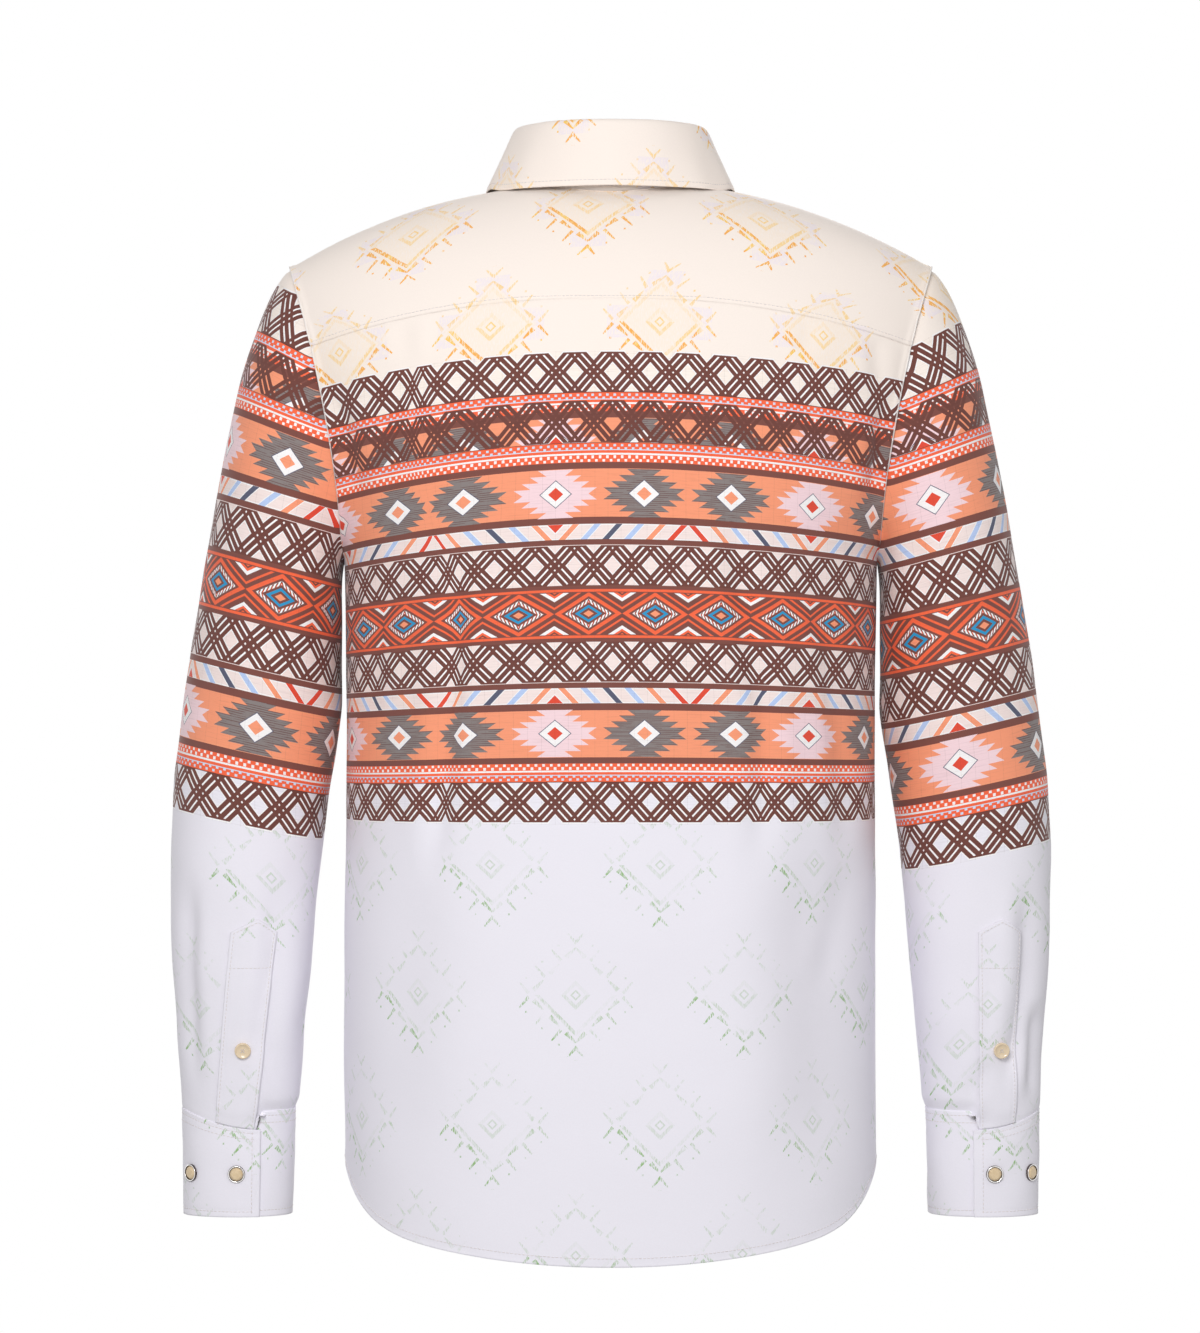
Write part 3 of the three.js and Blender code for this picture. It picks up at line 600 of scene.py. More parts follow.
def chart(place):
    """The printed repeat, charted in millimetres on the cloth's own grain."""
    u, v = (place.axis(index) / MM for index in (0, 1))
    level = abs(v)
    shown = level + (v > COPY["from"]) * -COPY["rise"]
    streak = place.speckled(1.0, 2.0, (60, 1400, 1))
    ground = (v > GROUND["cream_from"]).tinted(BLUSH, CREAM).inked(v < GROUND["lilac_to"], LILAC)
    ground = faded_medallions(place, ground, u, v)
    cloth = stepped_colours(shown, BANDS, BANDS_REACH).inked(shown > BANDS_END, ground)
    cloth = cloth.inked(shown < NESTED_ROW, nested_diamonds(u, shown))
    cloth = slanted_stripes(cloth, u, shown)
    cloth = stepped_medallions(cloth, u, v, shown, streak)
    check = REPEAT / 36
    even, odd = ((u + shift).near(check) < CHECK_HALF for shift in (0, check / 2))
    for even_row, odd_row, colour in CHECKS:
        checked = shown.between(*even_row) & even | shown.between(*odd_row) & odd
        cloth = cloth.inked(checked, colour)
    cloth = slotted_lattice(cloth, ground, u, v, streak)
    inked = level.between(0, COPY["open_to"]) | v.between(*COPY["print"])
    upright = (u.near(WARP_LINES["pitch"]) < WARP_LINES["half"]) & (0.25 * streak)
    cloth = cloth.inked(inked & upright, DARK_BROWN).inked(inked & ((streak - 0.5) * 0.5), DARK_BROWN)
    value = 0.97 + 0.06 * place.speckled(900.0)
    return cloth.node("ShaderNodeHueSaturation", {}, {"Color": cloth, "Value": value})


MEDALLION = {
    "gold_v": 194.0, "green_v": -169.2, "width": 113.5, "height": 87.5, "reach": 33.0, "from_u": 70.0,
    "unit": 0.665, "unit_from": 3.115, "above_from": 171, "below_to": -140, "bars": 0.965,
    "barbs": (1.0, 1.42), "dots": (0.46, 1.36), "inner": 0.79, "heart": (0.2, 0.3), "core": 0.09,
    "field": 0.95, "corners": (0.9, 1.45), "corner_half": 0.34, "square": 1.08,
}


def faded_medallions(place, ground, u, v):
    """Worn broken diamonds on the plain ground: gold above the bands and green below them."""
    above = v > 0
    gold = v > MEDALLION["above_from"]
    green = v < MEDALLION["below_to"]
    width, height, reach = MEDALLION["width"], MEDALLION["height"], MEDALLION["reach"]
    green_v = MEDALLION["green_v"]
    risen = v - (above * (MEDALLION["gold_v"] - green_v) + green_v)
    shifted = risen.near(2 * height) > height / 2
    across = (u + MEDALLION["from_u"] + shifted * (width / 2) + width / 2) % width - width / 2
    signed = (risen + height / 2) % height - height / 2
    wide, high = (abs(axis) / reach for axis in (across, signed))
    ring = wide + high
    hook = (wide - high + MEDALLION["unit_from"]) % MEDALLION["unit"]
    upright = place.speckled(1.0, 3.0, (1500, 260, 1))
    patch = place.speckled(60.0)
    streaked = upright.sum("MULTIPLY", upright - 0.42 + 0.04 * above, 7.0, clamp=True)
    worn = patch.sum("MULTIPLY", patch - 0.33 + 0.08 * above, 5.0, clamp=True)
    low, left = signed < 0, across > 0
    ink = 0.36 + 0.3 * low + 0.34 * (low & left)
    bars = (abs(ring - MEDALLION["bars"]) < 0.02 + 0.13 * (hook - 0.15)) & hook.between(0.15, 0.55)
    barbs = (hook < 0.1 - 0.14 * (ring - 1)) & ring.between(*MEDALLION["barbs"])
    dots = (abs(hook - MEDALLION["dots"][0]) + abs(ring - MEDALLION["dots"][1])) < 0.04
    inner = (abs(ring - MEDALLION["inner"]) < 0.05) & (0.2 * low + 0.3 * (low & left) + 0.35 * above)
    heart = ring.between(*MEDALLION["heart"]) & (0.1 + 0.2 * low)
    core = (abs(ring - MEDALLION["core"]) < 0.022) & (0.25 + 0.15 * streaked)
    broken = (bars | barbs | dots | inner) & ink & streaked & worn & (wide < 1.2)
    strokes = broken | core | (heart & (0.3 + 0.7 * streaked))
    squared = wide.sum("MAXIMUM", wide, high) < MEDALLION["square"]
    beside_point = (wide < MEDALLION["corner_half"]) | (high < MEDALLION["corner_half"])
    corners = beside_point & ring.between(*MEDALLION["corners"]) & squared
    ground = ground.inked(gold & corners & (0.4 * streaked) & worn, LAVENDER)
    ground = ground.inked(gold & (ring < MEDALLION["field"]) & (0.09 * streaked), GOLD)
    ground = ground.inked(gold & (1.9 * strokes), GOLD)
    burnt = (strokes > 0.42) & (patch > 0.44) & (0.75 * streaked)
    ground = ground.inked(gold & burnt, BURNT_GOLD)
    return ground.inked(green & (1.05 * strokes), LEAF_GREEN)


REVERSE = {"faded": 0.7, "colour": dyed(240, 234, 230)}
YARN = 0.0006


def cotton(name, reverse=False):
    """Printed cotton: the chart in its ink, a fine plain weave, faint rumples and a soft sheen."""
    finish = new_finish(name)
    place = read_grain(finish)
    colour = chart(place)
    if reverse:
        colour = colour.inked(REVERSE["faded"], REVERSE["colour"])
    warp, weft = (place.axis(index).near(YARN) / (YARN / 2) for index in (0, 1))
    rumple = place.speckled(55.0, 3.0)
    height = (warp + weft) * 0.00001 + rumple * 0.0005
    return coated(finish, {
        "Base Color": colour, "Normal": height.bumped(0.5), "Roughness": 0.72 + 0.14 * rumple,
        "Sheen Weight": 0.12, "Sheen Roughness": 0.5, "Specular IOR Level": 0.3,
    })


printed = cotton("printed_cotton")
printed_reverse = cotton("printed_cotton_reverse", True)

BLUE_ROW_Z = -296.3
PINK_AXIS_X = 37.1
SIDE_DROP = {1: 26.0, -1: 20.0}
DROP_FROM_Z = -150.0
DROP_TO_Z = -450.0
TOP_FROM_Z = -230.0
TOP_RISES_OVER = 100.0
TOP_RISE = 3.5
TOP_EASE = 0.28
CREASE = {"half": 7, "reach": 50, "fades": 50}
CREASES = (
    (((124, -80), (132, -140), (134, -200), (110, -262), (102, -300), (106, -340), (112, -380), (116, -430),
      (122, -490)), 6),
    (((-95, -316), (-103, -362), (-104, -425), (-98, -480)), 3),
    (((152, -265), (156, -300), (162, -335), (164, -380)), 3),
)


def drawn_in(points):
    """How far the creases of the back draw the print together on each side of them."""
    x, z = points[..., 0], points[..., 2]
    moved = np.zeros(x.shape)
    for line, amount in CREASES:
        across, height = np.array(line[::-1], float).T
        fade = smooth((height[-1] - z) / CREASE["fades"]) * smooth((z - height[0]) / CREASE["fades"])
        away = x - np.interp(z, height, across)
        moved += amount * fade * np.tanh(away / CREASE["half"]) * rib(away, 0, CREASE["reach"])
    return moved


def body_grain(points):
    """The print's place on a body panel: across the cloth from the middle, and up it."""
    middle = np.argmin(np.abs(points[..., 0]).mean(axis=0))
    arc = walked(points, 1)
    sign = np.sign(points[0, -1, 0] - points[0, 0, 0])
    u = sign * (arc - arc[:, middle:middle + 1]) + points[:, middle:middle + 1, 0]
    x, z = points[..., 0], points[..., 2]
    risen = smooth((z - TOP_FROM_Z) / TOP_RISES_OVER)
    drop = np.where(x > 0, SIDE_DROP[1], SIDE_DROP[-1]) * (1 - TOP_EASE * risen)
    drop = drop * np.clip(np.abs(x) / UNDERARM[0], 0, 1.1) ** 2
    drop = drop * np.clip((z - DROP_TO_Z) / (DROP_FROM_Z - DROP_TO_Z), 0, 1)
    v = z + drop - TOP_RISE * risen - BLUE_ROW_Z
    u = u - PINK_AXIS_X + np.where(points[..., 1] > 0, drawn_in(points), 0)
    return np.stack([u * MM, v * MM], axis=2)


BACK_FOLDS = (
    (((-84, -205), (-86, -262), (-95, -316), (-103, -362), (-104, -425), (-98, -478)), 9, 4.2),
    (((-139, -245), (-143, -290), (-150, -335), (-156, -380), (-160, -430), (-158, -480)), 8, 2.6),
    (((98, -250), (104, -290), (107, -330), (111, -380), (116, -430), (125, -485)), 8, 4.6),
    (((152, -265), (156, -300), (162, -335), (164, -372)), 7, 1.8),
    (((-138, -430), (-144, -520), (-148, -600), (-150, -700)), 30, 7.0),
    (((126, -440), (138, -520), (146, -600), (150, -680)), 24, 3.4),
    (((-165, -455), (-160, -500), (-148, -560)), 9, 1.6),
    (((140, -92), (141, -110), (139, -128)), 6, 0.9),
    (((117, -88), (119, -108), (116, -124)), 5, 0.8),
    (((48, -84), (50, -100), (47, -122)), 6, 0.7),
    (((-60, -84), (-58, -104), (-62, -120)), 5, 0.6),
    (((-132, -90), (-134, -108), (-131, -126)), 6, 0.9),
    (((-180, -104), (-182, -122), (-183, -150)), 6, 1.6),
    (((190, -140), (182, -180), (174, -225)), 8, 4.5),
    (((-190, -140), (-186, -190), (-178, -232)), 8, 4.5),
)


TOP_TUCKED = 2.4
TOP_ABOVE_SEAM = 3
UNDER_YOKE = {"deep": 0.46, "reach": 5, "over": 2}
SEAM_LIFT = {"high": 0.9, "reach": 6, "over": 3}
HELD = {"side": 14, "top": 10}
BACK_RUMPLE = (45, 0.5)
HEM_RUMPLE = (9, 0.5)


def wavy_hem(points, below):
    """The slight waves that a turned hem takes."""
    return rumpled(points, *HEM_RUMPLE) * rib(below, 3, 4)


def turned_wall(below):
    """The wall of a panel, thicker where its hem is turned."""
    return mix(CLOTH_WALL, TURNED_WALL, by_edge(below, TURNED_WIDTH, 1.2))[..., None]


def back_panel():
    half = even_columns(0)
    columns = np.concatenate([-half[:0:-1], half])
    rows, heights = panel_rows("back", columns, YOKE_SEAM_ANGLE)
    top = heights[-1]
    for height in (*heights[:-1], top - TOP_TUCKED / FORM_HEIGHT, top + TOP_ABOVE_SEAM / FORM_HEIGHT):
        row = upper_row("back", height)
        rows.append([row_point(row, across) for across in columns])
    points = relaxed(rows, 12)
    way = outward(points, (0, 0))
    below, above, left, right = edge_distance(points)
    side = np.minimum(left, right)
    moved = folded(points, BACK_FOLDS) + rumpled(points, *BACK_RUMPLE)
    moved = moved * smooth(side / HELD["side"]) * smooth(above / HELD["top"]) + wavy_hem(points, below)
    moved -= UNDER_YOKE["deep"] * by_edge(above, UNDER_YOKE["reach"], UNDER_YOKE["over"])
    lift = SEAM_LIFT["high"] * by_edge(side, SEAM_LIFT["reach"], SEAM_LIFT["over"])
    moved += np.where(points[..., 2] > UNDERARM[1], lift, 0)
    return finished("back_panel", points, way, moved, (0, 0), body_grain(points), turned_wall(below))


back_points, back_way, back = back_panel()
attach(back, "root")
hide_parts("back")


# Yoke
# The yoke is one piece of cream cotton that goes over both shoulders. It is lapped over the back and the
# fronts and top-stitched to them, and the collar stand is sewn round its neckline.
NECK = {"half_width": 66, "back": 55, "front": -78, "seam_angle": 97, "column": 0.3}
FRONT_SEAM_ANGLE = 30
YOKE_DEPTH = 124
YOKE_EDGE = {"thin": 0.05, "deep": 0.46}
YOKE_HELD = 12
YOKE_RUMPLE = (60, 0.8)
YOKE_SEAM_RUMPLE = (8, 0.25)
YOKE_PRINT = {"scale": 0.89, "shift": 5.7, "from_seam": 45, "droop": 22}
NECK_MIDDLE_Y = (NECK["back"] + NECK["front"]) / 2


def angle_over(side, height):
    angle = math.degrees(math.asin(min(1, height) ** (SIDES[side]["roundness"] / 2)))
    return angle if side == "back" else 180 - angle


def row_over(angle):
    side = "back" if angle <= 90 else "front"
    return upper_row(side, min(1, rounded(math.sin(math.radians(angle)), SIDES[side]["roundness"])))


def form_place(x, y):
    """A place on the body's form above the chest, found from its plan."""
    side = "back" if y >= 0 else "front"

    def across_at(height):
        return x / upper_row(side, height)[3][0]

    def is_below(height):
        return abs(row_point(upper_row(side, height), across_at(height))[1]) > abs(y)

    height = solve(0, 1, is_below)
    across = across_at(height)
    return across, angle_over(side, height), np.array(row_point(upper_row(side, height), across))


def neck_place(turn):
    angle = math.radians(turn)
    half_depth = (NECK["back"] - NECK["front"]) / 2
    return form_place(NECK["half_width"] * math.sin(angle), NECK_MIDDLE_Y + half_depth * math.cos(angle))


def shoulder_seam(share):
    across, over, _ = neck_place(NECK["seam_angle"])
    end_over = angle_over("front", height_at_end(armhole_end("front", FRONT_SEAM_ANGLE)[2]))
    outer = (share - NECK["column"]) / (1 - NECK["column"])
    return mix(across, 1, outer), mix(over, end_over, outer)


def yoke_top(share):
    if share <= NECK["column"]:
        return neck_place(NECK["seam_angle"] * share / NECK["column"])[:2]
    return shoulder_seam(share)


def yoke_panel():
    outer = even_columns(NECK["column"])
    half = np.concatenate([np.linspace(0, NECK["column"], 19)[:-1], outer])
    tops = [yoke_top(share) for share in half]
    seam_height = height_at_end(armhole_end("back", YOKE_SEAM_ANGLE)[2]) + 0.2 / FORM_HEIGHT
    start = angle_over("back", seam_height)
    ends = []
    depth = YOKE_DEPTH
    for angle in np.interp(stepped(depth), (0, depth), (YOKE_SEAM_ANGLE, -FRONT_SEAM_ANGLE + 1.2)):
        side = "back" if angle >= 0 else "front"
        ends.append(angle_over(side, height_at_end(armhole_end(side, angle)[2])))
    rows = []
    for end in ends:
        share = max(0, (end - ends[0]) / (ends[-1] - ends[0]))
        row = []
        for across, (top_across, top_over) in zip(half, tops):
            x, y, z = row_point(row_over(mix(start, top_over, share)), mix(across, top_across, share))
            row.append((x, y, z))
        rows.append([(-x, y, z) for x, y, z in row[:0:-1]] + row)
    points = relaxed(rows, 8)
    way = outward(points, (0, 0))
    below, above, left, right = edge_distance(points)
    side = np.minimum(left, right)
    u = body_grain(points)[..., 0]
    away = smooth(below / YOKE_PRINT["from_seam"])
    u = mix(u, u * YOKE_PRINT["scale"] + YOKE_PRINT["shift"] * MM, away)
    droop = YOKE_PRINT["droop"] * (points[..., 0] / UNDERARM[0]) ** 2 * away
    v = (below * YOKE_PRINT["scale"] + droop + points[:1, :, 2] - BLUE_ROW_Z) * MM
    v += body_grain(points)[:1, :, 1] - (points[:1, :, 2] - BLUE_ROW_Z) * MM
    grain = np.stack([u, v], axis=2)
    held = smooth(side / YOKE_HELD) * smooth(below / YOKE_HELD) * smooth(above / YOKE_HELD)
    moved = rumpled(points, *YOKE_RUMPLE) * held + rumpled(points, *YOKE_SEAM_RUMPLE) * rib(below, 3, 3)
    moved += 0.1 * by_edge(below, 4.5, 2) - YOKE_EDGE["deep"] * by_edge(below, 1.8, 1.8)
    moved += SEAM_LIFT["high"] * by_edge(side, SEAM_LIFT["reach"], SEAM_LIFT["over"])
    moved += 0.3 * by_edge(above, 4, 2)
    wall = mix(CLOTH_WALL, YOKE_EDGE["thin"], by_edge(below, 2.5, 2))[..., None]
    return finished("yoke_panel", points, way, moved, (0, 0), grain, wall)


yoke_points, yoke_way, yoke = yoke_panel()
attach(yoke, "root")
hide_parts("yoke")


# Fronts and front band
# Two printed fronts hang from the yoke and meet under a sewn band. The band is a folded strip of the same
# cloth, top-stitched down both sides, which carries the front snaps.
LAP = {"half_width": 19.0, "edge": 17.5, "top_drop": 3.0, "lift": 1.9, "wall": 1.1}
SEWN_DENT = 1.2
FRONT_RUMPLE = (45, 0.6)
BAND_RUMPLE = (14, 0.25)
LAP_SHARE = LAP["edge"] / UNDERARM[0]


def front_top(share):
    if share > NECK["column"]:
        return shoulder_seam(share)

    def turn_at(x):
        return 180 - math.degrees(math.asin(x / NECK["half_width"]))

    if share <= LAP_SHARE:
        return neck_place(turn_at(share * UNDERARM[0]))[:2]
    part = (share - LAP_SHARE) / (NECK["column"] - LAP_SHARE)
    return neck_place(mix(turn_at(LAP["edge"]), NECK["seam_angle"], part))[:2]


def front_grid(columns):
    rows, heights = panel_rows("front", columns, FRONT_SEAM_ANGLE)
    tops = [front_top(share) for share in columns]
    for height in heights:
        share = height / heights[-1]
        row = []
        for across, (top_across, top_over) in zip(columns, tops):
            limit = rounded(math.sin(math.radians(top_over)), 2.0) - 0.48 / FORM_HEIGHT
            level = upper_row("front", limit * share)
            plumb = across * UNDERARM[0] / level[3][0]
            spread = mix(across, top_across, share)
            blend = float(smooth((across - LAP_SHARE) / (NECK["column"] - LAP_SHARE)))
            row.append(row_point(level, mix(plumb, spread, mix(blend, 1, share ** 3))))
        rows.append(row)
    return np.array(rows, float)


FRONT_FOLDS = (
    (((92, -150), (98, -220), (104, -300), (108, -380), (112, -450)), 10, 2.4),
    (((60, -300), (64, -380), (66, -470), (70, -560)), 14, 2.0),
    (((138, -255), (146, -320), (150, -400), (152, -480)), 9, 2.2),
    (((118, -470), (126, -550), (136, -640)), 20, 3.0),
    (((176, -140), (168, -180), (158, -225)), 9, 2.0),
)


def front_panel(name, side, columns):
    points = front_grid(columns)
    points[..., 0] *= side
    points = relaxed(points, 12)
    way = outward(points, (0, 0))
    below, above, _, right = edge_distance(points)
    beside_band = smooth((np.abs(points[..., 0]) - LAP["half_width"] - 3) / 16)
    held = smooth(right / HELD["side"]) * smooth(above / HELD["top"]) * beside_band
    folds = [([(x * side, z) for x, z in line], width, depth) for line, width, depth in FRONT_FOLDS]
    moved = folded(points, folds) + rumpled(points, *FRONT_RUMPLE) + wavy_hem(points, below)
    moved *= held
    moved -= 0.6 * rib(above, 0, 2.5) * held
    moved += np.where(points[..., 2] > UNDERARM[1], 0.55 * by_edge(right, 5, 3), 0)
    return finished(name, points, way, moved, (0, 0), body_grain(points), turned_wall(below))


left_columns = even_columns(LAP_SHARE + 0.2 / UNDERARM[0])
right_columns = np.concatenate([np.linspace(-LAP_SHARE, LAP_SHARE, 9), left_columns[1:]])
front_left_points, front_left_way, front_left = front_panel("front_panel_left", 1, left_columns)
front_right_points, front_right_way, front_right = front_panel("front_panel_right", -1, right_columns)
FRONT_CUTS = ((front_left, "front_left", 0.268, 0.162), (front_right, "front_right", 0.304, 0.186))
for piece, node, width, area in FRONT_CUTS:
    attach(piece, "root")
    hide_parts(node)


def chest_place(x, z):
    def place_at(height):
        row = upper_row("front", height)
        return row_point(row, x / row[3][0])

    return place_at(solve(0, 1, lambda height: place_at(height)[2] < z))


def front_band_piece():
    places = stepped(2 * LAP["half_width"]) - LAP["half_width"]
    points = front_grid(places / UNDERARM[0])
    for place in points[-1]:
        place[2] -= LAP["top_drop"]
        place[1] = chest_place(place[0], place[2])[1]
    points = relaxed(points, 6)
    way = outward(points, (0, 0))
    _, _, left, right = edge_distance(points)
    moved = LAP["lift"] - 0.25 * rib(np.minimum(left, right), 5.5, SEWN_DENT)
    moved += rumpled(points, *BAND_RUMPLE)
    return finished("front_band_strip", points, way, moved, (0, 0), body_grain(points), LAP["wall"])


band_points, band_way, band = front_band_piece()
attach(band, "root")
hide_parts("front_band")


# Collar
# A stiff cream stand goes round the neckline, and its right end lies under its left one. The leaf is two
# plies turned out and top-stitched. It is sewn to the top of the stand, rolls over it and falls to points.
STAND = {
    "half_width": 64, "back": 53, "front": -74, "end": 188, "lift": 0.6, "dips_from": 130, "dips_over": 35,
    "columns": 151, "rows": 13, "wall": 1.5,
}
STAND_TOP = {"back_z": 41, "front_z": -14, "level_to": 80, "drops_over": 110}
BAND_WALL = 1.8
GAP = 0.4
FOLD_ROLL = 4.0
LEAF_END = 172
LEAF_LIFT = 1.9
LEAF_PRINT_V = 384
LEAF_TURN = (0, 0.14, 0.28, 0.42, 0.55, 0.7, 0.85, 1)
LEAF_X = (0, 35, 65, 83, 89, 88, 80, 66)
LEAF_Y = (66, 59, 43, 17, -12, -46, -75, -96)
LEAF_Z = (-1.5, -1.8, -1.5)
LEAF_RESTS_FROM = 0.4
LEAF_ROLL_LENGTH = 14
LEAF_WALL = 1.3
LEAF_RUMPLE = (30, 0.3)
LEAF_PRESS = {"over": 4.0, "drop": 0.7, "wall": 0.5}


def stand_point(turn, share):
    angle = math.radians(turn)
    base = neck_place(turn)[2] + np.array((0, 0, STAND["lift"]))
    half_depth = (STAND["back"] - STAND["front"]) / 2
    middle = (STAND["back"] + STAND["front"]) / 2
    dropped = float(smooth((abs(turn) - STAND_TOP["level_to"]) / STAND_TOP["drops_over"]))
    top = np.array((
        STAND["half_width"] * math.sin(angle),
        middle + half_depth * math.cos(angle),
        mix(STAND_TOP["back_z"], STAND_TOP["front_z"], dropped),
    ))
    place = mix(base, top, share)
    dips = float(smooth((-turn - STAND["dips_from"]) / STAND["dips_over"]))
    under = dips * (BAND_WALL + GAP)
    away = np.array((place[0], place[1] - NECK_MIDDLE_Y, 0))
    return place - away / np.linalg.norm(away) * (GAP + under)


def stand_grid():
    turns = np.linspace(-STAND["end"], STAND["end"], STAND["columns"])
    bases = [stand_point(turn, 0) for turn in turns]
    tops = [stand_point(turn, 1) for turn in turns]
    shares = np.linspace(0, 1, STAND["rows"])
    return np.array([[mix(base, top, share) for base, top in zip(bases, tops)] for share in shares])


def collar_grain(points, risen):
    _, _, left, _ = edge_distance(points)
    middle = points.shape[1] // 2
    return np.stack([(left - left[:, middle:middle + 1] - 40) * MM, risen * MM], axis=2)


stand_points = stand_grid()
stand_way = outward(stand_points, (0, NECK_MIDDLE_Y))
stand_grain = collar_grain(stand_points, edge_distance(stand_points)[0] + 400)
stand = sewn("collar_stand_band", stand_points, stand_way, stand_grain, STAND["wall"])
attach(stand, "root")
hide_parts("collar_stand")


def form_lifted(x, y, lift):
    reach = 2
    across = form_place(x + reach, y)[2] - form_place(x - reach, y)[2]
    along = form_place(x, y + reach)[2] - form_place(x, y - reach)[2]
    normal = np.cross(across, along)
    return form_place(x, y)[2] + normal / np.linalg.norm(normal) * lift


def leaf_edge(turn):
    x = float(np.interp(abs(turn), LEAF_TURN, LEAF_X)) * (math.copysign(1, turn))
    y = float(np.interp(abs(turn), LEAF_TURN, LEAF_Y))
    if abs(turn) > LEAF_RESTS_FROM:
        return form_lifted(x, y, LEAF_LIFT)
    return np.array((x, y, float(np.interp(abs(turn), LEAF_TURN[:3], LEAF_Z))))


def through(places, count):
    """A smooth line through places, as a cloth takes it."""
    places = np.array(places)
    padded = np.concatenate([[2 * places[0] - places[1]], places, [2 * places[-1] - places[-2]]])
    line = []
    for share in np.linspace(0, len(places) - 1, count):
        index = min(int(share), len(places) - 2)
        t = share - index
        a, b, c, d = padded[index:index + 4]
        line.append(0.5 * (2 * b + (c - a) * t + (2 * a - 5 * b + 4 * c - d) * t ** 2
                           + (3 * b - a - 3 * c + d) * t ** 3))
    return line


def leaf_grid():
    turns = np.linspace(-1, 1, 121)
    edges = np.array([leaf_edge(turn) for turn in turns])
    for _ in range(6):
        edges[2:-2] = (edges[1:-3] + 2 * edges[2:-2] + edges[3:-1]) / 4
    columns = []
    for turn, edge in zip(turns, edges):
        top = stand_point(turn * LEAF_END, 1)
        away = np.array((top[0], top[1] - NECK_MIDDLE_Y, 0))
        away /= np.linalg.norm(away)
        up = np.array((0, 0, 1))
        start = top - away * BAND_WALL / 2 + up * (GAP + BAND_WALL)
        crest = top + away * FOLD_ROLL / 2 + up * FOLD_ROLL
        shoulder = top + away * (FOLD_ROLL + 1.5) + up * FOLD_ROLL / 4
        fall = [mix(shoulder, edge, share) for share in (0.3, 0.65, 1)]
        line = np.array(through([start, crest, shoulder, *fall], 61))
        along = walked(line)
        over_fold = np.linspace(0, LEAF_ROLL_LENGTH, 12)
        down = np.linspace(LEAF_ROLL_LENGTH + 1.5, along[-1] - 9, 12)
        wanted = np.concatenate([over_fold, down, along[-1] - np.array((7.5, 6, 5, 4, 3, 2, 1, 0))])
        columns.append(np.stack([np.interp(wanted, along, line[:, axis]) for axis in range(3)], axis=1))
    return np.stack(columns, axis=1)


def collar_leaf():
    points = leaf_grid()
    axis = (0, NECK_MIDDLE_Y)
    below, above, left, right = edge_distance(points)
    edge = np.minimum(above, np.minimum(left, right))
    past_roll = smooth((below - LEAF_ROLL_LENGTH - 2) / 5)
    pressed = by_edge(edge, LEAF_PRESS["over"], LEAF_PRESS["over"]) * past_roll
    moved = rumpled(points, *LEAF_RUMPLE) - 0.25 * rib(edge, 4, SEWN_DENT) * past_roll
    moved -= LEAF_PRESS["drop"] * pressed
    grain = collar_grain(points, above + LEAF_PRINT_V)
    wall = mix(LEAF_WALL, LEAF_PRESS["wall"], pressed)[..., None]
    return finished("collar_leaf", points, outward(points, axis), moved, axis, grain, wall)


leaf_points, leaf_way, leaf = collar_leaf()
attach(leaf, "root")
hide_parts("collar")


# Sleeves
# Each long sleeve is one printed piece, set into the armhole and closed by a seam under the arm. It
# narrows to the cuff, where it is laid in pleats, and it is slit behind the wrist under a placket.
SLEEVE_OUT = (
    (225, -53.1), (231, -59.3), (238, -70.5), (247.5, -95), (257, -122), (266, -165), (276.5, -216),
    (286, -270), (294, -320), (306, -410), (308.5, -460), (307.5, -510), (304.5, -560), (301.5, -605),
    (300, -640),
)
SLEEVE_IN = (
    (186.5, -258.8), (187, -261.5), (187.4, -264.5), (187.8, -270), (188, -278), (188, -291), (188, -310),
    (187.6, -336), (187.4, -363), (196.5, -421), (202, -462), (206.5, -510), (211, -560), (215, -605),
    (218.5, -640),
)
SLEEVE_BACK = (68, 68.6, 69, 70, 70.5, 70, 68.5, 66, 64, 59, 55.5, 51, 45.5, 38.5, 31)
SLEEVE_FRONT = (60, 61, 62, 64, 66, 67, 67, 66, 64.5, 61, 59, 56, 53, 50, 47)
SLEEVE_SCOOP = (1, 0.75, 0.55, 0.3, 0.15, 0.05, 0, 0, 0, 0, 0, 0, 0, 0, 0)
CUFF = {
    "top_z": -640.4, "bottom_z": -714, "lap_drop": 13, "lap_turn": 100, "under_shift": 2.3, "turns": 452,
    "tuck": 3, "length": 290.0, "height": 73, "wall": 1.5, "under_from": 200, "under_over": 110,
}
CUFF_RUMPLE = (22, 0.8)
CUFF_END = {"out_x": 299, "in_x": 220.5, "back": 30, "front": 46}
ARMS = {
    "left": {
        "side": 1, "free_edge": 112, "placket": (71, 107), "lean": 15,
        "blue_row_at": (225.6, -286.4), "axis_at": (225.6, -286.4), "from_pink": -66.75, "low_print": 1.14,
    },
    "right": {
        "side": -1, "free_edge": 100, "placket": (60, 94), "lean": 0,
        "blue_row_at": (-204, -317.9), "axis_at": (-219.8, -221.7), "from_pink": 0, "low_print": 1.11,
    },
}
SLEEVE_ANGLES = np.linspace(180, -180, 89)[:-1]
SLEEVE_ROWS = 150
SLEEVE_PRINT = 1.14
HIGH_PRINT = 1.18
SLEEVE_RUMPLE = (40, 0.9)
PRINT_LEVELS = np.linspace(-50, -660, 160)
BAND_SLOPE_Z = (-430, -300, -220, -130)
BAND_SLOPE = (0.21, 0.24, 0.3, 0.46)


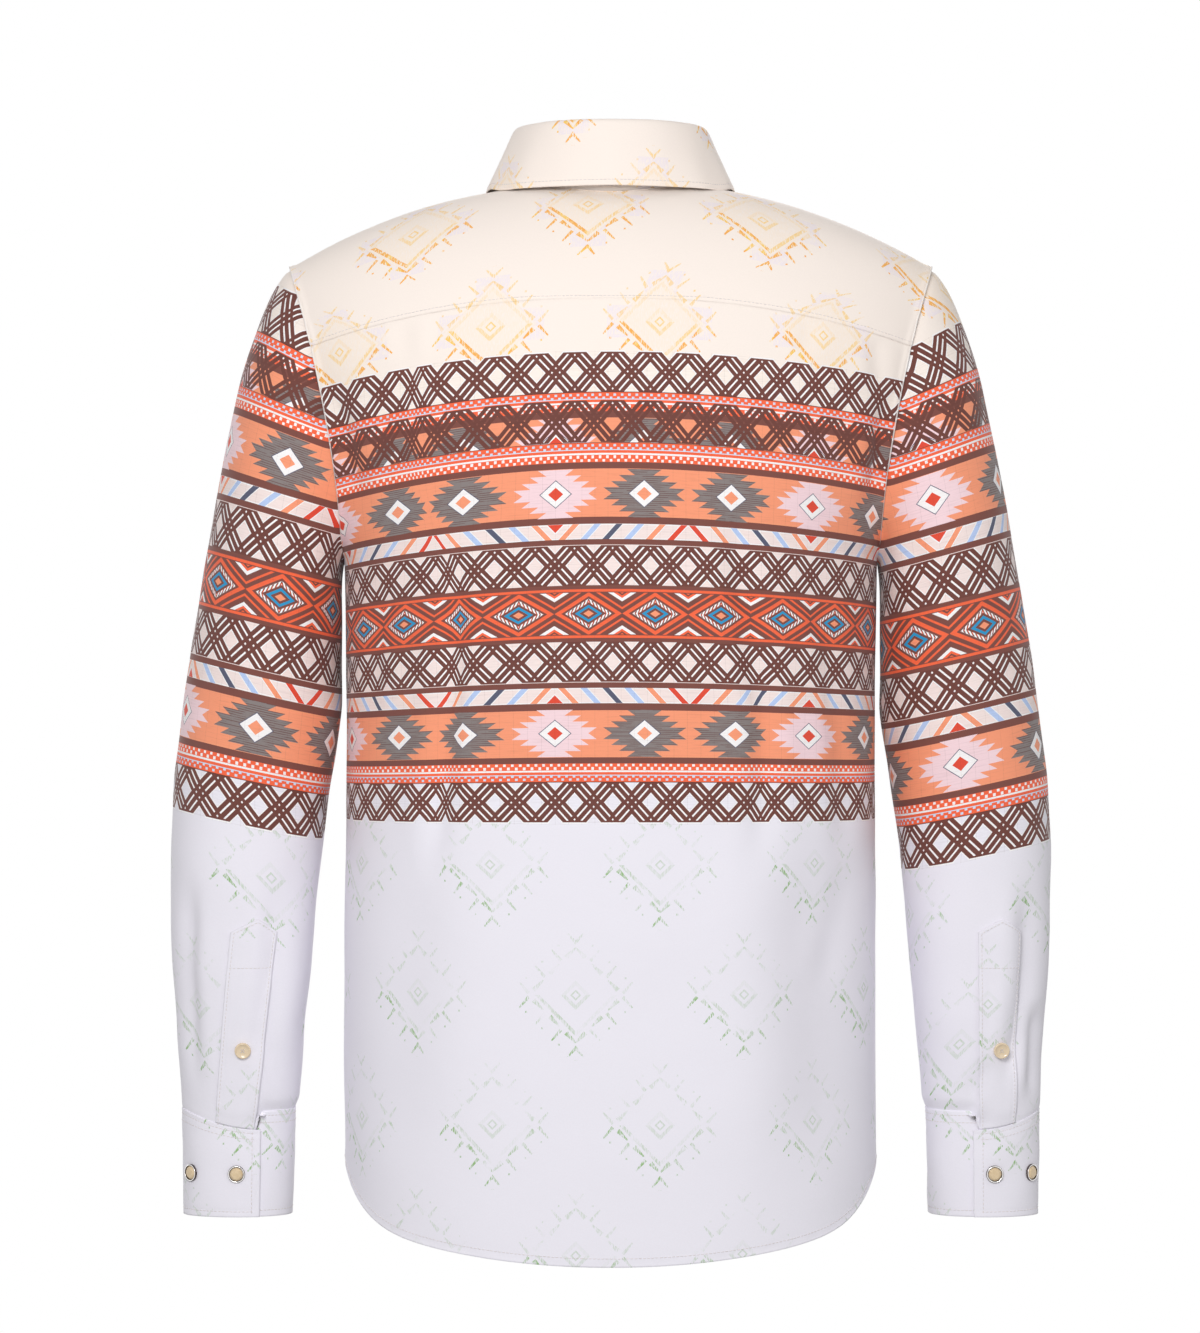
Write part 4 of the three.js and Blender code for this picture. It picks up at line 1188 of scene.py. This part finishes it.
def oval(out_x, out_z, in_x, in_z, back, front, scoop, angle):
    along = rounded(math.cos(math.radians(angle)), OVAL_ROUNDNESS)
    across = rounded(math.sin(math.radians(angle)), OVAL_ROUNDNESS)
    share = (along + 1) / 2
    held = SIDES["back" if across >= 0 else "front"]["scoop"]
    x = mix(in_x, out_x, share) - scoop * held * across ** 2
    return x, (back if across >= 0 else front) * across, mix(in_z, out_z, share)


def under_lap(turned):
    """How far the cuff's band has gone in under its own lap."""
    return smooth((turned - CUFF["under_from"]) / CUFF["under_over"])


def cuff_top(arm, angle):
    share = float(smooth((arm["free_edge"] - angle) / CUFF["lap_turn"]))
    return CUFF["top_z"] - CUFF["lap_drop"] * (1 - share)


def sleeve_grid(arm):
    rings = []
    for index, (out, inner) in enumerate(zip(SLEEVE_OUT, SLEEVE_IN)):
        ring = []
        for angle in SLEEVE_ANGLES:
            values = (SLEEVE_BACK[index], SLEEVE_FRONT[index], SLEEVE_SCOOP[index], angle)
            x, y, z = oval(*out, *inner, *values)
            if index == len(SLEEVE_OUT) - 1:
                on_lap = 0 < angle < arm["free_edge"] - 2
                z = (cuff_top(arm, angle) if on_lap else CUFF["top_z"]) - CUFF["tuck"]
            ring.append((x * arm["side"], y, z))
        rings.append(ring)
    rings = np.array(rings)
    along = walked(rings).mean(axis=1)
    edge = np.array((0, 1.2, 2.4, 3.6))
    inside = np.linspace(5, along[-1] - 5, SLEEVE_ROWS - 2 * len(edge))
    wanted = np.concatenate([edge, inside, along[-1] - edge[::-1]])
    flat = rings.reshape(len(rings), -1)
    fine = np.stack([np.interp(wanted, along, column) for column in flat.T], axis=1)
    return relaxed(fine.reshape(len(wanted), len(SLEEVE_ANGLES), 3), 10, True)


def sleeve_grain(points, arm):
    """The print's place on a sleeve: round it from its outer line, and up it on the bands' own slope."""
    start = int(np.argmin(np.abs(SLEEVE_ANGLES)))
    around = np.concatenate([points, points[:, :1]], axis=1)
    section = np.zeros((len(PRINT_LEVELS), around.shape[1], 2))
    for column in range(around.shape[1]):
        line = around[::-1, column]
        for axis in (0, 1):
            section[:, column, axis] = np.interp(PRINT_LEVELS, line[:, 2], line[:, axis])
    arc = walked(section, 1)
    arc -= arc[:, start:start + 1]
    reach = np.zeros(around.shape[:2])
    for column in range(around.shape[1]):
        reach[:, column] = np.interp(-around[:, column, 2], -PRINT_LEVELS, arc[:, column])
    outer_x, outer_z = np.array(SLEEVE_OUT[::-1]).T
    z = around[..., 2]
    inward = np.interp(z, outer_z, outer_x) - np.abs(around[..., 0])
    line_z = z + np.interp(z, BAND_SLOPE_Z, BAND_SLOPE) * inward
    behind = np.where(around[..., 1] > 0, 0, OUT_OF_REACH)

    def pinned(values, place):
        away = (around[..., 0] - place[0]) ** 2 + (z - place[1]) ** 2 + behind
        return values - values.ravel()[np.argmin(away)]

    u = pinned(reach * arm["side"] / SLEEVE_PRINT, arm["axis_at"]) + arm["from_pink"]
    v = pinned(line_z, arm["blue_row_at"])
    v = np.where(v > 0, v / HIGH_PRINT, v / arm["low_print"])
    return np.stack([u * MM, v * MM], axis=2)


SLEEVE_FOLDS = {
    "left": (
        (((197, -470), (196, -520), (205, -570), (212, -618)), 9, 2.6),
        (((290, -470), (293, -540), (291, -590), (287, -632)), 6, 4.0),
        (((232, -470), (233, -530), (240, -590), (230, -634)), 8, 2.2),
        (((206, -220), (214, -250), (222, -285)), 8, 1.6),
        (((250, -300), (225, -330), (205, -352)), 10, 1.4),
    ),
    "right": (
        (((-288, -470), (-288, -540), (-282, -585), (-266, -636)), 8, 4.5),
        (((-297, -560), (-294, -600), (-292, -637)), 5, 4.5),
        (((-262, -600), (-255, -618), (-250, -634)), 6, 1.6),
        (((-206, -230), (-212, -262), (-220, -300)), 8, 1.6),
        (((-246, -330), (-226, -350), (-206, -366)), 10, 1.2),
    ),
}


def sleeve_piece(name, arm):
    points = sleeve_grid(arm)
    axis = (arm["side"] * 245, 0)
    grain = sleeve_grain(points, arm)
    way = outward(points, axis, True)
    below, above, _, _ = edge_distance(points)
    facing = smooth((way[..., 1] + 0.15) / 0.4)
    fronted = smooth((-way[..., 1] + 0.15) / 0.4)
    held = smooth(below / 16) * smooth(above / 8)
    moved = folded(points, SLEEVE_FOLDS[name]) * facing
    other = [(line, width, depth * 0.8) for line, width, depth in SLEEVE_FOLDS[name]]
    moved += folded(points, other) * fronted
    moved = (moved + rumpled(points, *SLEEVE_RUMPLE)) * held
    moved -= rib(below, 0, 4) + 0.6 * by_edge(above, CUFF["tuck"] + 2, 2)
    from_lap = (arm["free_edge"] - SLEEVE_ANGLES) % 360
    beside_edge = by_edge(from_lap, 20, 12) * by_edge(above, CUFF["lap_drop"] + 6, 8)
    moved -= CUFF["under_shift"] * under_lap(from_lap) * by_edge(above, CUFF["tuck"] + 9, 9) + beside_edge
    points[..., 0] -= arm["side"] * CUFF["tuck"] * rib(below, 0, 2.5)
    made = finished(f"sleeve_panel_{name}", points, way, moved, axis, grain, closed=True)
    piece = made[2]
    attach(piece, "root")
    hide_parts(f"sleeve_{name}")
    return made


sleeves = {name: sleeve_piece(name, arm) for name, arm in ARMS.items()}


# Cuffs
# Each cuff is a stiff folded band with square corners. It starts at its free edge behind the wrist, goes
# once round and ends under itself, and two snaps hold the lap.
CUFF_MIDDLE_X = 260


def cuff_point(arm, turned, z):
    angle = arm["free_edge"] - turned
    down = (z - CUFF["top_z"]) / (CUFF["bottom_z"] - CUFF["top_z"])
    out_x = mix(SLEEVE_OUT[-1][0], CUFF_END["out_x"], down)
    in_x = mix(SLEEVE_IN[-1][0], CUFF_END["in_x"], down)
    back = mix(SLEEVE_BACK[-1], CUFF_END["back"], down)
    front = mix(SLEEVE_FRONT[-1], CUFF_END["front"], down)
    place = np.array(oval(out_x, z, in_x, z, back, front, 0, angle))
    inward = np.array(((out_x + in_x) / 2, 0, z)) - place
    place = place + inward / np.linalg.norm(inward) * float(under_lap(turned)) * CUFF["under_shift"]
    return place * (arm["side"], 1, 1)


def cuff_piece(name, arm):
    turns = stepped(CUFF["length"]) * CUFF["turns"] / CUFF["length"]
    rows = []
    for share in stepped(CUFF["height"]) / CUFF["height"]:
        row = []
        for turned in turns:
            top = cuff_top(arm, arm["free_edge"] - turned) if turned < 180 else CUFF["top_z"]
            row.append(cuff_point(arm, turned, mix(CUFF["bottom_z"], top, share)))
        rows.append(row)
    points = np.array(rows)
    axis = (arm["side"] * CUFF_MIDDLE_X, 0)
    below, above, left, _ = edge_distance(points)
    dents = rib(np.minimum(below, left), 4.5, SEWN_DENT) + rib(above, 3, SEWN_DENT)
    moved = rumpled(points, *CUFF_RUMPLE) * smooth(above / 14) * by_edge(left, 300, 60) - 0.22 * dents
    moved *= by_edge(left, 250, 60)
    grain = np.stack([(left + 40) * MM * arm["side"], (points[..., 2] - BLUE_ROW_Z) * MM], axis=2)
    made = finished(f"cuff_band_{name}", points, outward(points, axis), moved, axis, grain, CUFF["wall"])
    piece = made[2]
    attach(piece, "root")
    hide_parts(f"cuff_{name}")
    return made


cuffs = {name: cuff_piece(name, arm) for name, arm in ARMS.items()}


# Sleeve plackets
# A narrow strip of the sleeve's cloth, folded to a point at its top, is stitched over the slit behind the
# wrist. A cross row of stitches ends the slit, and one small button closes it.
PLACKET = {
    "point_z": -506, "shoulder_z": -515, "lift": 1.8, "foot_lift": 0.6, "sinks_over": 12, "cross_z": -540,
    "gapes": 1.2, "width": 30, "length": 142,
}
PLACKET_RUMPLE = (16, 0.35)


def on_sleeve(name, angle, z):
    """A place on the finished sleeve at an angle and a height, and the way out of the cloth there."""
    points, way, _ = sleeves[name]
    share = (180 - angle) / 360 * len(SLEEVE_ANGLES)
    first = int(share)
    part = share - first
    line = mix(points[:, first], points[:, first + 1], part)
    ways = mix(way[:, first], way[:, first + 1], part)
    place = [np.interp(-z, -line[:, 2], line[:, axis]) for axis in range(3)]
    normal = np.array([np.interp(-z, -line[:, 2], ways[:, axis]) for axis in range(3)])
    return np.array(place), normal / np.linalg.norm(normal)


def placket_piece(name, arm):
    first, last = arm["placket"]
    middle = (first + last) / 2
    angles = np.interp(stepped(PLACKET["width"]), (0, PLACKET["width"]), (first, last))
    rows = []
    for share in stepped(PLACKET["length"]) / PLACKET["length"]:
        row = []
        for angle in angles:
            peak = mix(PLACKET["point_z"], PLACKET["shoulder_z"], abs(angle - middle) / (last - middle))
            foot = cuff_top(arm, min(angle, arm["free_edge"] - 4)) + GAP
            z = mix(foot, peak, share)
            lean = arm["lean"] * (z - CUFF["top_z"]) / (PLACKET["point_z"] - CUFF["top_z"])
            place, normal = on_sleeve(name, angle + lean, z)
            risen = float(smooth((z - foot) / PLACKET["sinks_over"]))
            row.append(place + normal * mix(PLACKET["foot_lift"], PLACKET["lift"], risen))
        rows.append(row)
    points = np.array(rows)
    axis = (arm["side"] * 250, 0)
    below, above, left, right = edge_distance(points)
    edge = np.minimum(np.minimum(left, right), above)
    moved = rumpled(points, *PLACKET_RUMPLE) - 0.22 * rib(edge, 3, 1.0)
    unsewn = smooth((PLACKET["cross_z"] - points[..., 2]) / 20) * smooth(below / 25)
    moved += PLACKET["gapes"] * unsewn * by_edge(right, 8, 8)
    grain = np.stack([(points[..., 0] + 20) * MM, (points[..., 2] - BLUE_ROW_Z + 12) * MM], axis=2)
    wall = mix(0.4, 1.0, smooth(below / PLACKET["sinks_over"]))[..., None]
    made = finished(f"placket_strip_{name}", points, outward(points, axis), moved, axis, grain, wall)
    piece = made[2]
    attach(piece, "root")
    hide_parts(f"placket_{name}")
    return made


plackets = {name: placket_piece(name, arm) for name, arm in ARMS.items()}


# Seams and stitches
# Every seam and edge is top-stitched with cream thread: the yoke, armholes, hem, front band, collar, cuffs
# and plackets. Each line of stitches follows the cloth a few millimetres in from its edge.
STITCH_PITCH = 2.8
STITCH_THICKNESS = 0.5
STITCH_RISE = 0.12
# Thread colours painted darker than the real cream thread, as painted shade along the stitches. The twist
# varies at random between them.
THREAD_SHADE = dyed(212, 204, 202)
THREAD_LIGHT = dyed(244, 238, 236)


def thread_finish():
    """Matt cream sewing thread, with its twist. Its colours are painted darker and greyer than the cream
    thread, as painted shade that makes the rows of stitches show against the cloth.
    """
    finish = new_finish("sewing_thread")
    twist = read_place(finish).speckled(2200.0)
    colour = twist.tinted(THREAD_SHADE, THREAD_LIGHT)
    return coated(finish, {
        "Base Color": colour, "Normal": (twist * 0.0002).bumped(0.6), "Roughness": 0.65,
    })


thread = thread_finish()


def stitch_tree():
    """Geometry nodes that lay one stitch after another along every line they are given."""
    tree = bpy.data.node_groups.new("stitches", "GeometryNodeTree")
    sizes = {}
    tree.interface.new_socket("Geometry", in_out="INPUT", socket_type="NodeSocketGeometry")
    for title in ("Pitch", "Thickness"):
        made = tree.interface.new_socket(title, in_out="INPUT", socket_type="NodeSocketFloat")
        sizes[title] = made.identifier
    tree.interface.new_socket("Geometry", in_out="OUTPUT", socket_type="NodeSocketGeometry")

    def step(kind, settings=(), **inputs):
        node = tree.nodes.new(kind)
        for key, value in dict(settings).items():
            setattr(node, key, value)
        for key, value in inputs.items():
            socket = node.inputs[key.replace("_", " ")]
            if hasattr(value, "is_output"):
                tree.links.new(value, socket)
            else:
                socket.default_value = value
        return node

    given = step("NodeGroupInput").outputs
    line = step("GeometryNodeMeshToCurve", Mesh=given["Geometry"]).outputs[0]
    even = {"mode": "LENGTH"}
    line = step("GeometryNodeResampleCurve", even, Curve=line, Length=given["Pitch"]).outputs[0]
    ball = step("GeometryNodeMeshUVSphere", Segments=6, Rings=4, Radius=0.5).outputs["Mesh"]
    along = step("GeometryNodeInputTangent").outputs[0]
    turned = step("FunctionNodeAlignRotationToVector", {"axis": "X"}, Vector=along).outputs[0]
    uneven = step("FunctionNodeRandomValue", {"data_type": "FLOAT"}, Seed=4)
    uneven.inputs[2].default_value = 0.7
    uneven.inputs[3].default_value = 0.88
    long = step("ShaderNodeMath", {"operation": "MULTIPLY"})
    tree.links.new(given["Pitch"], long.inputs[0])
    tree.links.new(uneven.outputs[1], long.inputs[1])
    thick = given["Thickness"]
    size = step("ShaderNodeCombineXYZ", X=long.outputs[0], Y=thick, Z=thick).outputs[0]
    placed = step("GeometryNodeInstanceOnPoints", Points=line, Instance=ball, Rotation=turned, Scale=size)
    plain = step("GeometryNodeRealizeInstances", Geometry=placed.outputs[0]).outputs[0]
    dressed = step("GeometryNodeSetMaterial", Geometry=plain, Material=thread).outputs[0]
    tree.links.new(dressed, step("NodeGroupOutput").inputs[0])
    return tree, sizes


stitches, stitch_sizes = stitch_tree()


def stitched(name, *lines):
    """Rows of stitches along lines of places in millimetres."""
    places, edges = [], []
    for line in lines:
        start = len(places)
        places += [tuple(place) for place in np.array(line) * MM]
        edges += [(index, index + 1) for index in range(start, len(places) - 1)]
    mesh = bpy.data.meshes.new(name)
    mesh.from_pydata(places, edges, [])
    guide = placed(name, mesh)
    sewing = guide.modifiers.new("stitches", "NODES")
    sewing.node_group = stitches
    sewing[stitch_sizes["Pitch"]] = STITCH_PITCH * MM
    sewing[stitch_sizes["Thickness"]] = STITCH_THICKNESS * MM
    seen = guide.evaluated_get(bpy.context.evaluated_depsgraph_get())
    made = bpy.data.meshes.new_from_object(seen)
    bpy.data.objects.remove(guide)
    made.polygons.foreach_set("use_smooth", np.ones(len(made.polygons), bool))
    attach(placed(name, made), "root")


def face_of(points, way, *_):
    """The places where stitches lie on a piece's outer face."""
    return points + way * STITCH_RISE


def along_armhole(face, *columns):
    """The part of a panel's columns that runs beside the armhole, above the seam under the arm."""
    edges = [0 if column > 0 else -1 for column in columns]
    return [face[face[:, edge, 2] > UNDERARM[1] + 12, column] for edge, column in zip(edges, columns)]


HEM_ROW, SIDE_COLUMN, SEAM_ROW = 5, 4, 2
back_face = face_of(back_points, back_way)
stitched("hem_stitches_back", back_face[HEM_ROW])
stitched("armhole_stitches_back", *along_armhole(back_face, SIDE_COLUMN, -1 - SIDE_COLUMN))
yoke_face = face_of(yoke_points, yoke_way)
half_yoke = yoke_points.shape[1] // 2
neck_columns = round(half_yoke * 0.2)
shoulder_row = yoke_face[-1 - SEAM_ROW]
stitched(
    "yoke_stitches", yoke_face[SEAM_ROW], shoulder_row[:half_yoke - neck_columns],
    shoulder_row[half_yoke + neck_columns:], yoke_face[:, SIDE_COLUMN], yoke_face[:, -1 - SIDE_COLUMN],
)
for name, points, way in (
    ("left", front_left_points, front_left_way), ("right", front_right_points, front_right_way),
):
    face = face_of(points, way)
    stitched(f"front_stitches_{name}", face[HEM_ROW, 6:], *along_armhole(face, -1 - SIDE_COLUMN))
band_face = face_of(band_points, band_way)
stitched("band_stitches", band_face[5:, 5], band_face[5:, -6], band_face[5, 5:-5])
stand_face = face_of(stand_points, stand_way)
stitched("stand_stitches", stand_face[1], stand_face[-2])
leaf_face = face_of(leaf_points, leaf_way)
leaf_line = np.concatenate([leaf_face[14:-5, 1], leaf_face[-5, 1:-1], leaf_face[14:-5, -2][::-1]])
stitched("collar_stitches", leaf_line)
for name in ARMS:
    face = face_of(*cuffs[name])
    stitched(f"cuff_stitches_{name}", face[4:-3, 5], *(face[row, 5:-14] for row in (4, -4, -8)))
    face = face_of(*plackets[name])
    round_edge = np.concatenate([face[:-2, 2], face[-3, 2:-2], face[:-2, -3][::-1]])
    cross = []
    for column in range(2, face.shape[1] - 2):
        line = face[:, column]
        cross.append([np.interp(PLACKET["cross_z"], line[:, 2], line[:, axis]) for axis in range(3)])
    stitched(f"placket_stitches_{name}", round_edge, cross)


# Snaps and buttons
# Pearl snaps close the front, the stand and the cuffs. Each is a chromed brass ring crimped round a domed
# pearl cap. A clear four-hole button, sewn on with crossed thread, closes each sleeve placket.
HARDWARE_SIDES = 36
BUTTON_HOLE = {"from_middle": 0.8, "radius": 0.42}
# The band of a ring's bead left bright. Above and below it the chrome is painted dark, as painted shade and
# painted reflection.
BRIGHT_CHROME = (0.34, 0.6)


def polished(name, first, second, scale, metal, roughness, coat=0.0, marks_and_painted_shade=None, marks_and_shade_colour=None):
    """A hard finish whose colour drifts from first to second over the piece, with marks in another colour:
    the painted shade on a snap ring's rims, and the holes of a button.
    """
    finish = new_finish(name)
    place = read_place(finish)
    colour = place.speckled(scale, 3.0).tinted(first, second)
    if marks_and_painted_shade:
        colour = colour.inked(marks_and_painted_shade(read_grain(finish)), marks_and_shade_colour)
    return coated(finish, {
        "Base Color": colour, "Roughness": roughness + 0.12 * place.speckled(900.0),
        "Metallic": metal, "Coat Weight": coat, "Coat Roughness": 0.08,
    })


def painted_rim_shade(grain):
    """Painted shade and painted reflection on both sides of a ring's bead, beside the cap and beside the
    cloth. The bead's sides are coloured dark in place of the shade and dark reflections there, and no
    groove is cut.
    """
    return ~grain.axis(1).between(*BRIGHT_CHROME)


def sewing_holes(grain):
    """The four holes of a button, from its plan."""
    over, up = (abs(grain.axis(index) / MM) - BUTTON_HOLE["from_middle"] for index in (0, 1))
    return (over * over + up * up) < BUTTON_HOLE["radius"] ** 2


def facing_axes(axis):
    """The directions across and up the face of a round piece, level with the shirt."""
    across = np.cross(axis, (0, 0, 1))
    across /= np.linalg.norm(across)
    return across, np.cross(across, axis)


def turned(name, middle, axis, profile, finish, plan=False):
    """A round piece of hardware from its profile, a list of radii and heights in millimetres."""
    across, up = facing_axes(axis)
    places, grain = [], []
    for index, (radius, height) in enumerate(profile):
        for step in range(HARDWARE_SIDES):
            angle = 2 * math.pi * step / HARDWARE_SIDES
            x, y = radius * math.cos(angle), radius * math.sin(angle)
            places.append((middle + across * x + up * y + axis * height) * MM)
            grain.append((x * MM, y * MM) if plan else (step / HARDWARE_SIDES, index / len(profile)))
    faces = []
    for row in range(len(profile) - (1 if plan else 0)):
        above = (row + 1) % len(profile) * HARDWARE_SIDES
        for step in range(HARDWARE_SIDES):
            beside = (step + 1) % HARDWARE_SIDES
            below = row * HARDWARE_SIDES
            faces.append((below + step, below + beside, above + beside, above + step))
    if plan:
        faces.append(tuple(range(HARDWARE_SIDES))[::-1])
        faces.append(tuple(range(len(places) - HARDWARE_SIDES, len(places))))
    mesh = bpy.data.meshes.new(name)
    mesh.from_pydata(places, [], faces)
    layer = mesh.uv_layers.new(name="Grain")
    corners = [grain[loop.vertex_index] for loop in mesh.loops]
    layer.data.foreach_set("uv", np.array(corners, np.float32).ravel())
    mesh.polygons.foreach_set("use_smooth", np.ones(len(faces), bool))
    mesh.materials.append(finish)
    piece = placed(name, mesh)
    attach(piece, "root")
    return piece


# The snap chrome, with its rims painted dark as painted shade and painted reflection.
chrome = polished(
    "snap_chrome", dyed(246, 244, 242), dyed(226, 224, 222), 700.0, 1.0, 0.1,
    marks_and_painted_shade=painted_rim_shade, marks_and_shade_colour=dyed(96, 86, 84),
)
pearl = polished("snap_pearl", dyed(236, 212, 174), dyed(212, 184, 138), 420.0, 0.0, 0.22, 0.8)
horn = polished(
    "placket_button", dyed(240, 220, 190), dyed(222, 196, 156), 300.0, 0.0, 0.2, 0.6,
    marks_and_painted_shade=sewing_holes, marks_and_shade_colour=dyed(120, 96, 74),
)


SLANTED_DEPTH = 4
BEAD = np.linspace(0, math.pi, 13)


def measured(node):
    """The middle of a round node, its axis out of the shirt, and its radii and heights from there."""
    places = np.array([tuple(node.matrix_world @ vertex.co) for vertex in node.data.vertices]) / MM
    mean = places.mean(axis=0)
    is_slanted = np.ptp(places, axis=0).min() > SLANTED_DEPTH
    middle = mean if is_slanted else (places.min(axis=0) + places.max(axis=0)) / 2
    axis = np.linalg.svd(places - mean)[2][2]
    tube_x = math.copysign(CUFF_MIDDLE_X, middle[0]) if abs(middle[0]) > UNDERARM[0] else 0
    if (middle[:2] - (tube_x, 0)) @ axis[:2] < 0:
        axis = -axis
    height = (places - middle) @ axis
    radius = np.linalg.norm(places - middle - height[:, None] * axis, axis=1)
    return middle, axis, radius, height


for name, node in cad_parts.items():
    if name.endswith("_ring"):
        middle, axis, radius, height = measured(node)
        inner, outer, low = radius.min(), radius.max(), height.min()
        profile = [(inner, low)]
        for turn in BEAD:
            reach = inner + (outer - inner) / 2 * (1 - math.cos(turn))
            profile.append((reach, mix(low + 0.3, height.max(), math.sin(turn))))
        ring = turned(f"{name}_bead", middle, axis, [*profile, (outer, low)], chrome)
        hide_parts(name)
    if name.endswith("_button"):
        middle, axis, radius, height = measured(node)
        edge, low, high = radius.max(), height.min(), height.max()
        profile = (
            (edge - 0.3, low), (edge, mix(low, high, 0.3)), (edge, mix(low, high, 0.7)),
            (edge - 0.25, high - 0.05), (edge - 0.7, high), (edge - 1.2, high - 0.1),
            (edge - 1.5, high - 0.45), (edge * 0.4, high - 0.55), (0.05, high - 0.55),
        )
        button = turned(f"{name}_disc", middle, axis, profile, horn, True)
        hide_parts(name)
        top = middle + axis * (high - 0.35)
        across, up = (way * BUTTON_HOLE["from_middle"] for way in facing_axes(axis))
        stitched(f"{name}_thread", *([top + end, top - end] for end in (across + up, up - across)))
    if name.endswith("_pearl"):
        node.data.materials.clear()
        node.data.materials.append(pearl)


# Floor, light and camera
# The shirt is seen from behind, level with its middle, in soft even studio light over a pale floor.
def studio():
    """A pale floor and a round wall on every side. They are white to the camera and cast no light."""
    bpy.ops.mesh.primitive_uv_sphere_add(segments=48, ring_count=24, radius=8.0)
    wall = bpy.context.object
    bpy.ops.mesh.primitive_plane_add(size=12.0, location=(0, 0, -0.80))
    floor = bpy.context.object
    white = coated(new_finish("studio_white"), {
        "Base Color": (0, 0, 0, 1), "Specular IOR Level": 0, "Emission Color": (1, 1, 1, 1),
        "Emission Strength": 1.0,
    })
    for title, thing in (("studio_wall", wall), ("studio_floor", floor)):
        thing.name = title
        thing.data.materials.append(white)
        thing.visible_diffuse = False
        thing.visible_transmission = False
        thing.visible_shadow = False


def soft_light(name, place, aim, size, power):
    light = bpy.data.lights.new(name, "AREA")
    light.shape = "SQUARE"
    light.size = size
    light.energy = power
    lamp = bpy.data.objects.new(name, light)
    lamp.location = place
    lamp.rotation_euler = (Vector(aim) - Vector(place)).to_track_quat("-Z", "Y").to_euler()
    bpy.context.scene.collection.objects.link(lamp)


studio()
for title, turn in (("", 1), ("front_", -1)):
    soft_light(f"{title}key", (0.3 * turn, 2.5 * turn, 0.55), (0, 0, -0.25), 0.9, 38)
    soft_light(f"{title}fill", (-1.8 * turn, 2.6 * turn, 0.2), (0, 0, -0.35), 0.9, 5)
world = bpy.data.worlds.new("studio")
world.use_nodes = True
backdrop = world.node_tree.nodes["Background"]
backdrop.inputs["Color"].default_value = (1, 1, 1, 1)
backdrop.inputs["Strength"].default_value = 0.38
bpy.context.scene.world = world
bpy.context.scene.view_settings.view_transform = "Standard"

CAMERA_PLACE = (0.0075, 3.2, -0.332)
IMAGE_HEIGHT = 1333
METRES_A_PIXEL = 0.0007
SENSOR = 36
camera_data = bpy.data.cameras.new("camera")
camera_data.sensor_fit = "VERTICAL"
camera_data.sensor_height = SENSOR
camera_data.sensor_width = SENSOR
camera_data.lens = SENSOR * CAMERA_PLACE[1] / (IMAGE_HEIGHT * METRES_A_PIXEL)
camera = bpy.data.objects.new("camera", camera_data)
camera.location = CAMERA_PLACE
camera.rotation_euler = (math.pi / 2, 0, math.pi)
bpy.context.scene.collection.objects.link(camera)
bpy.context.scene.camera = camera
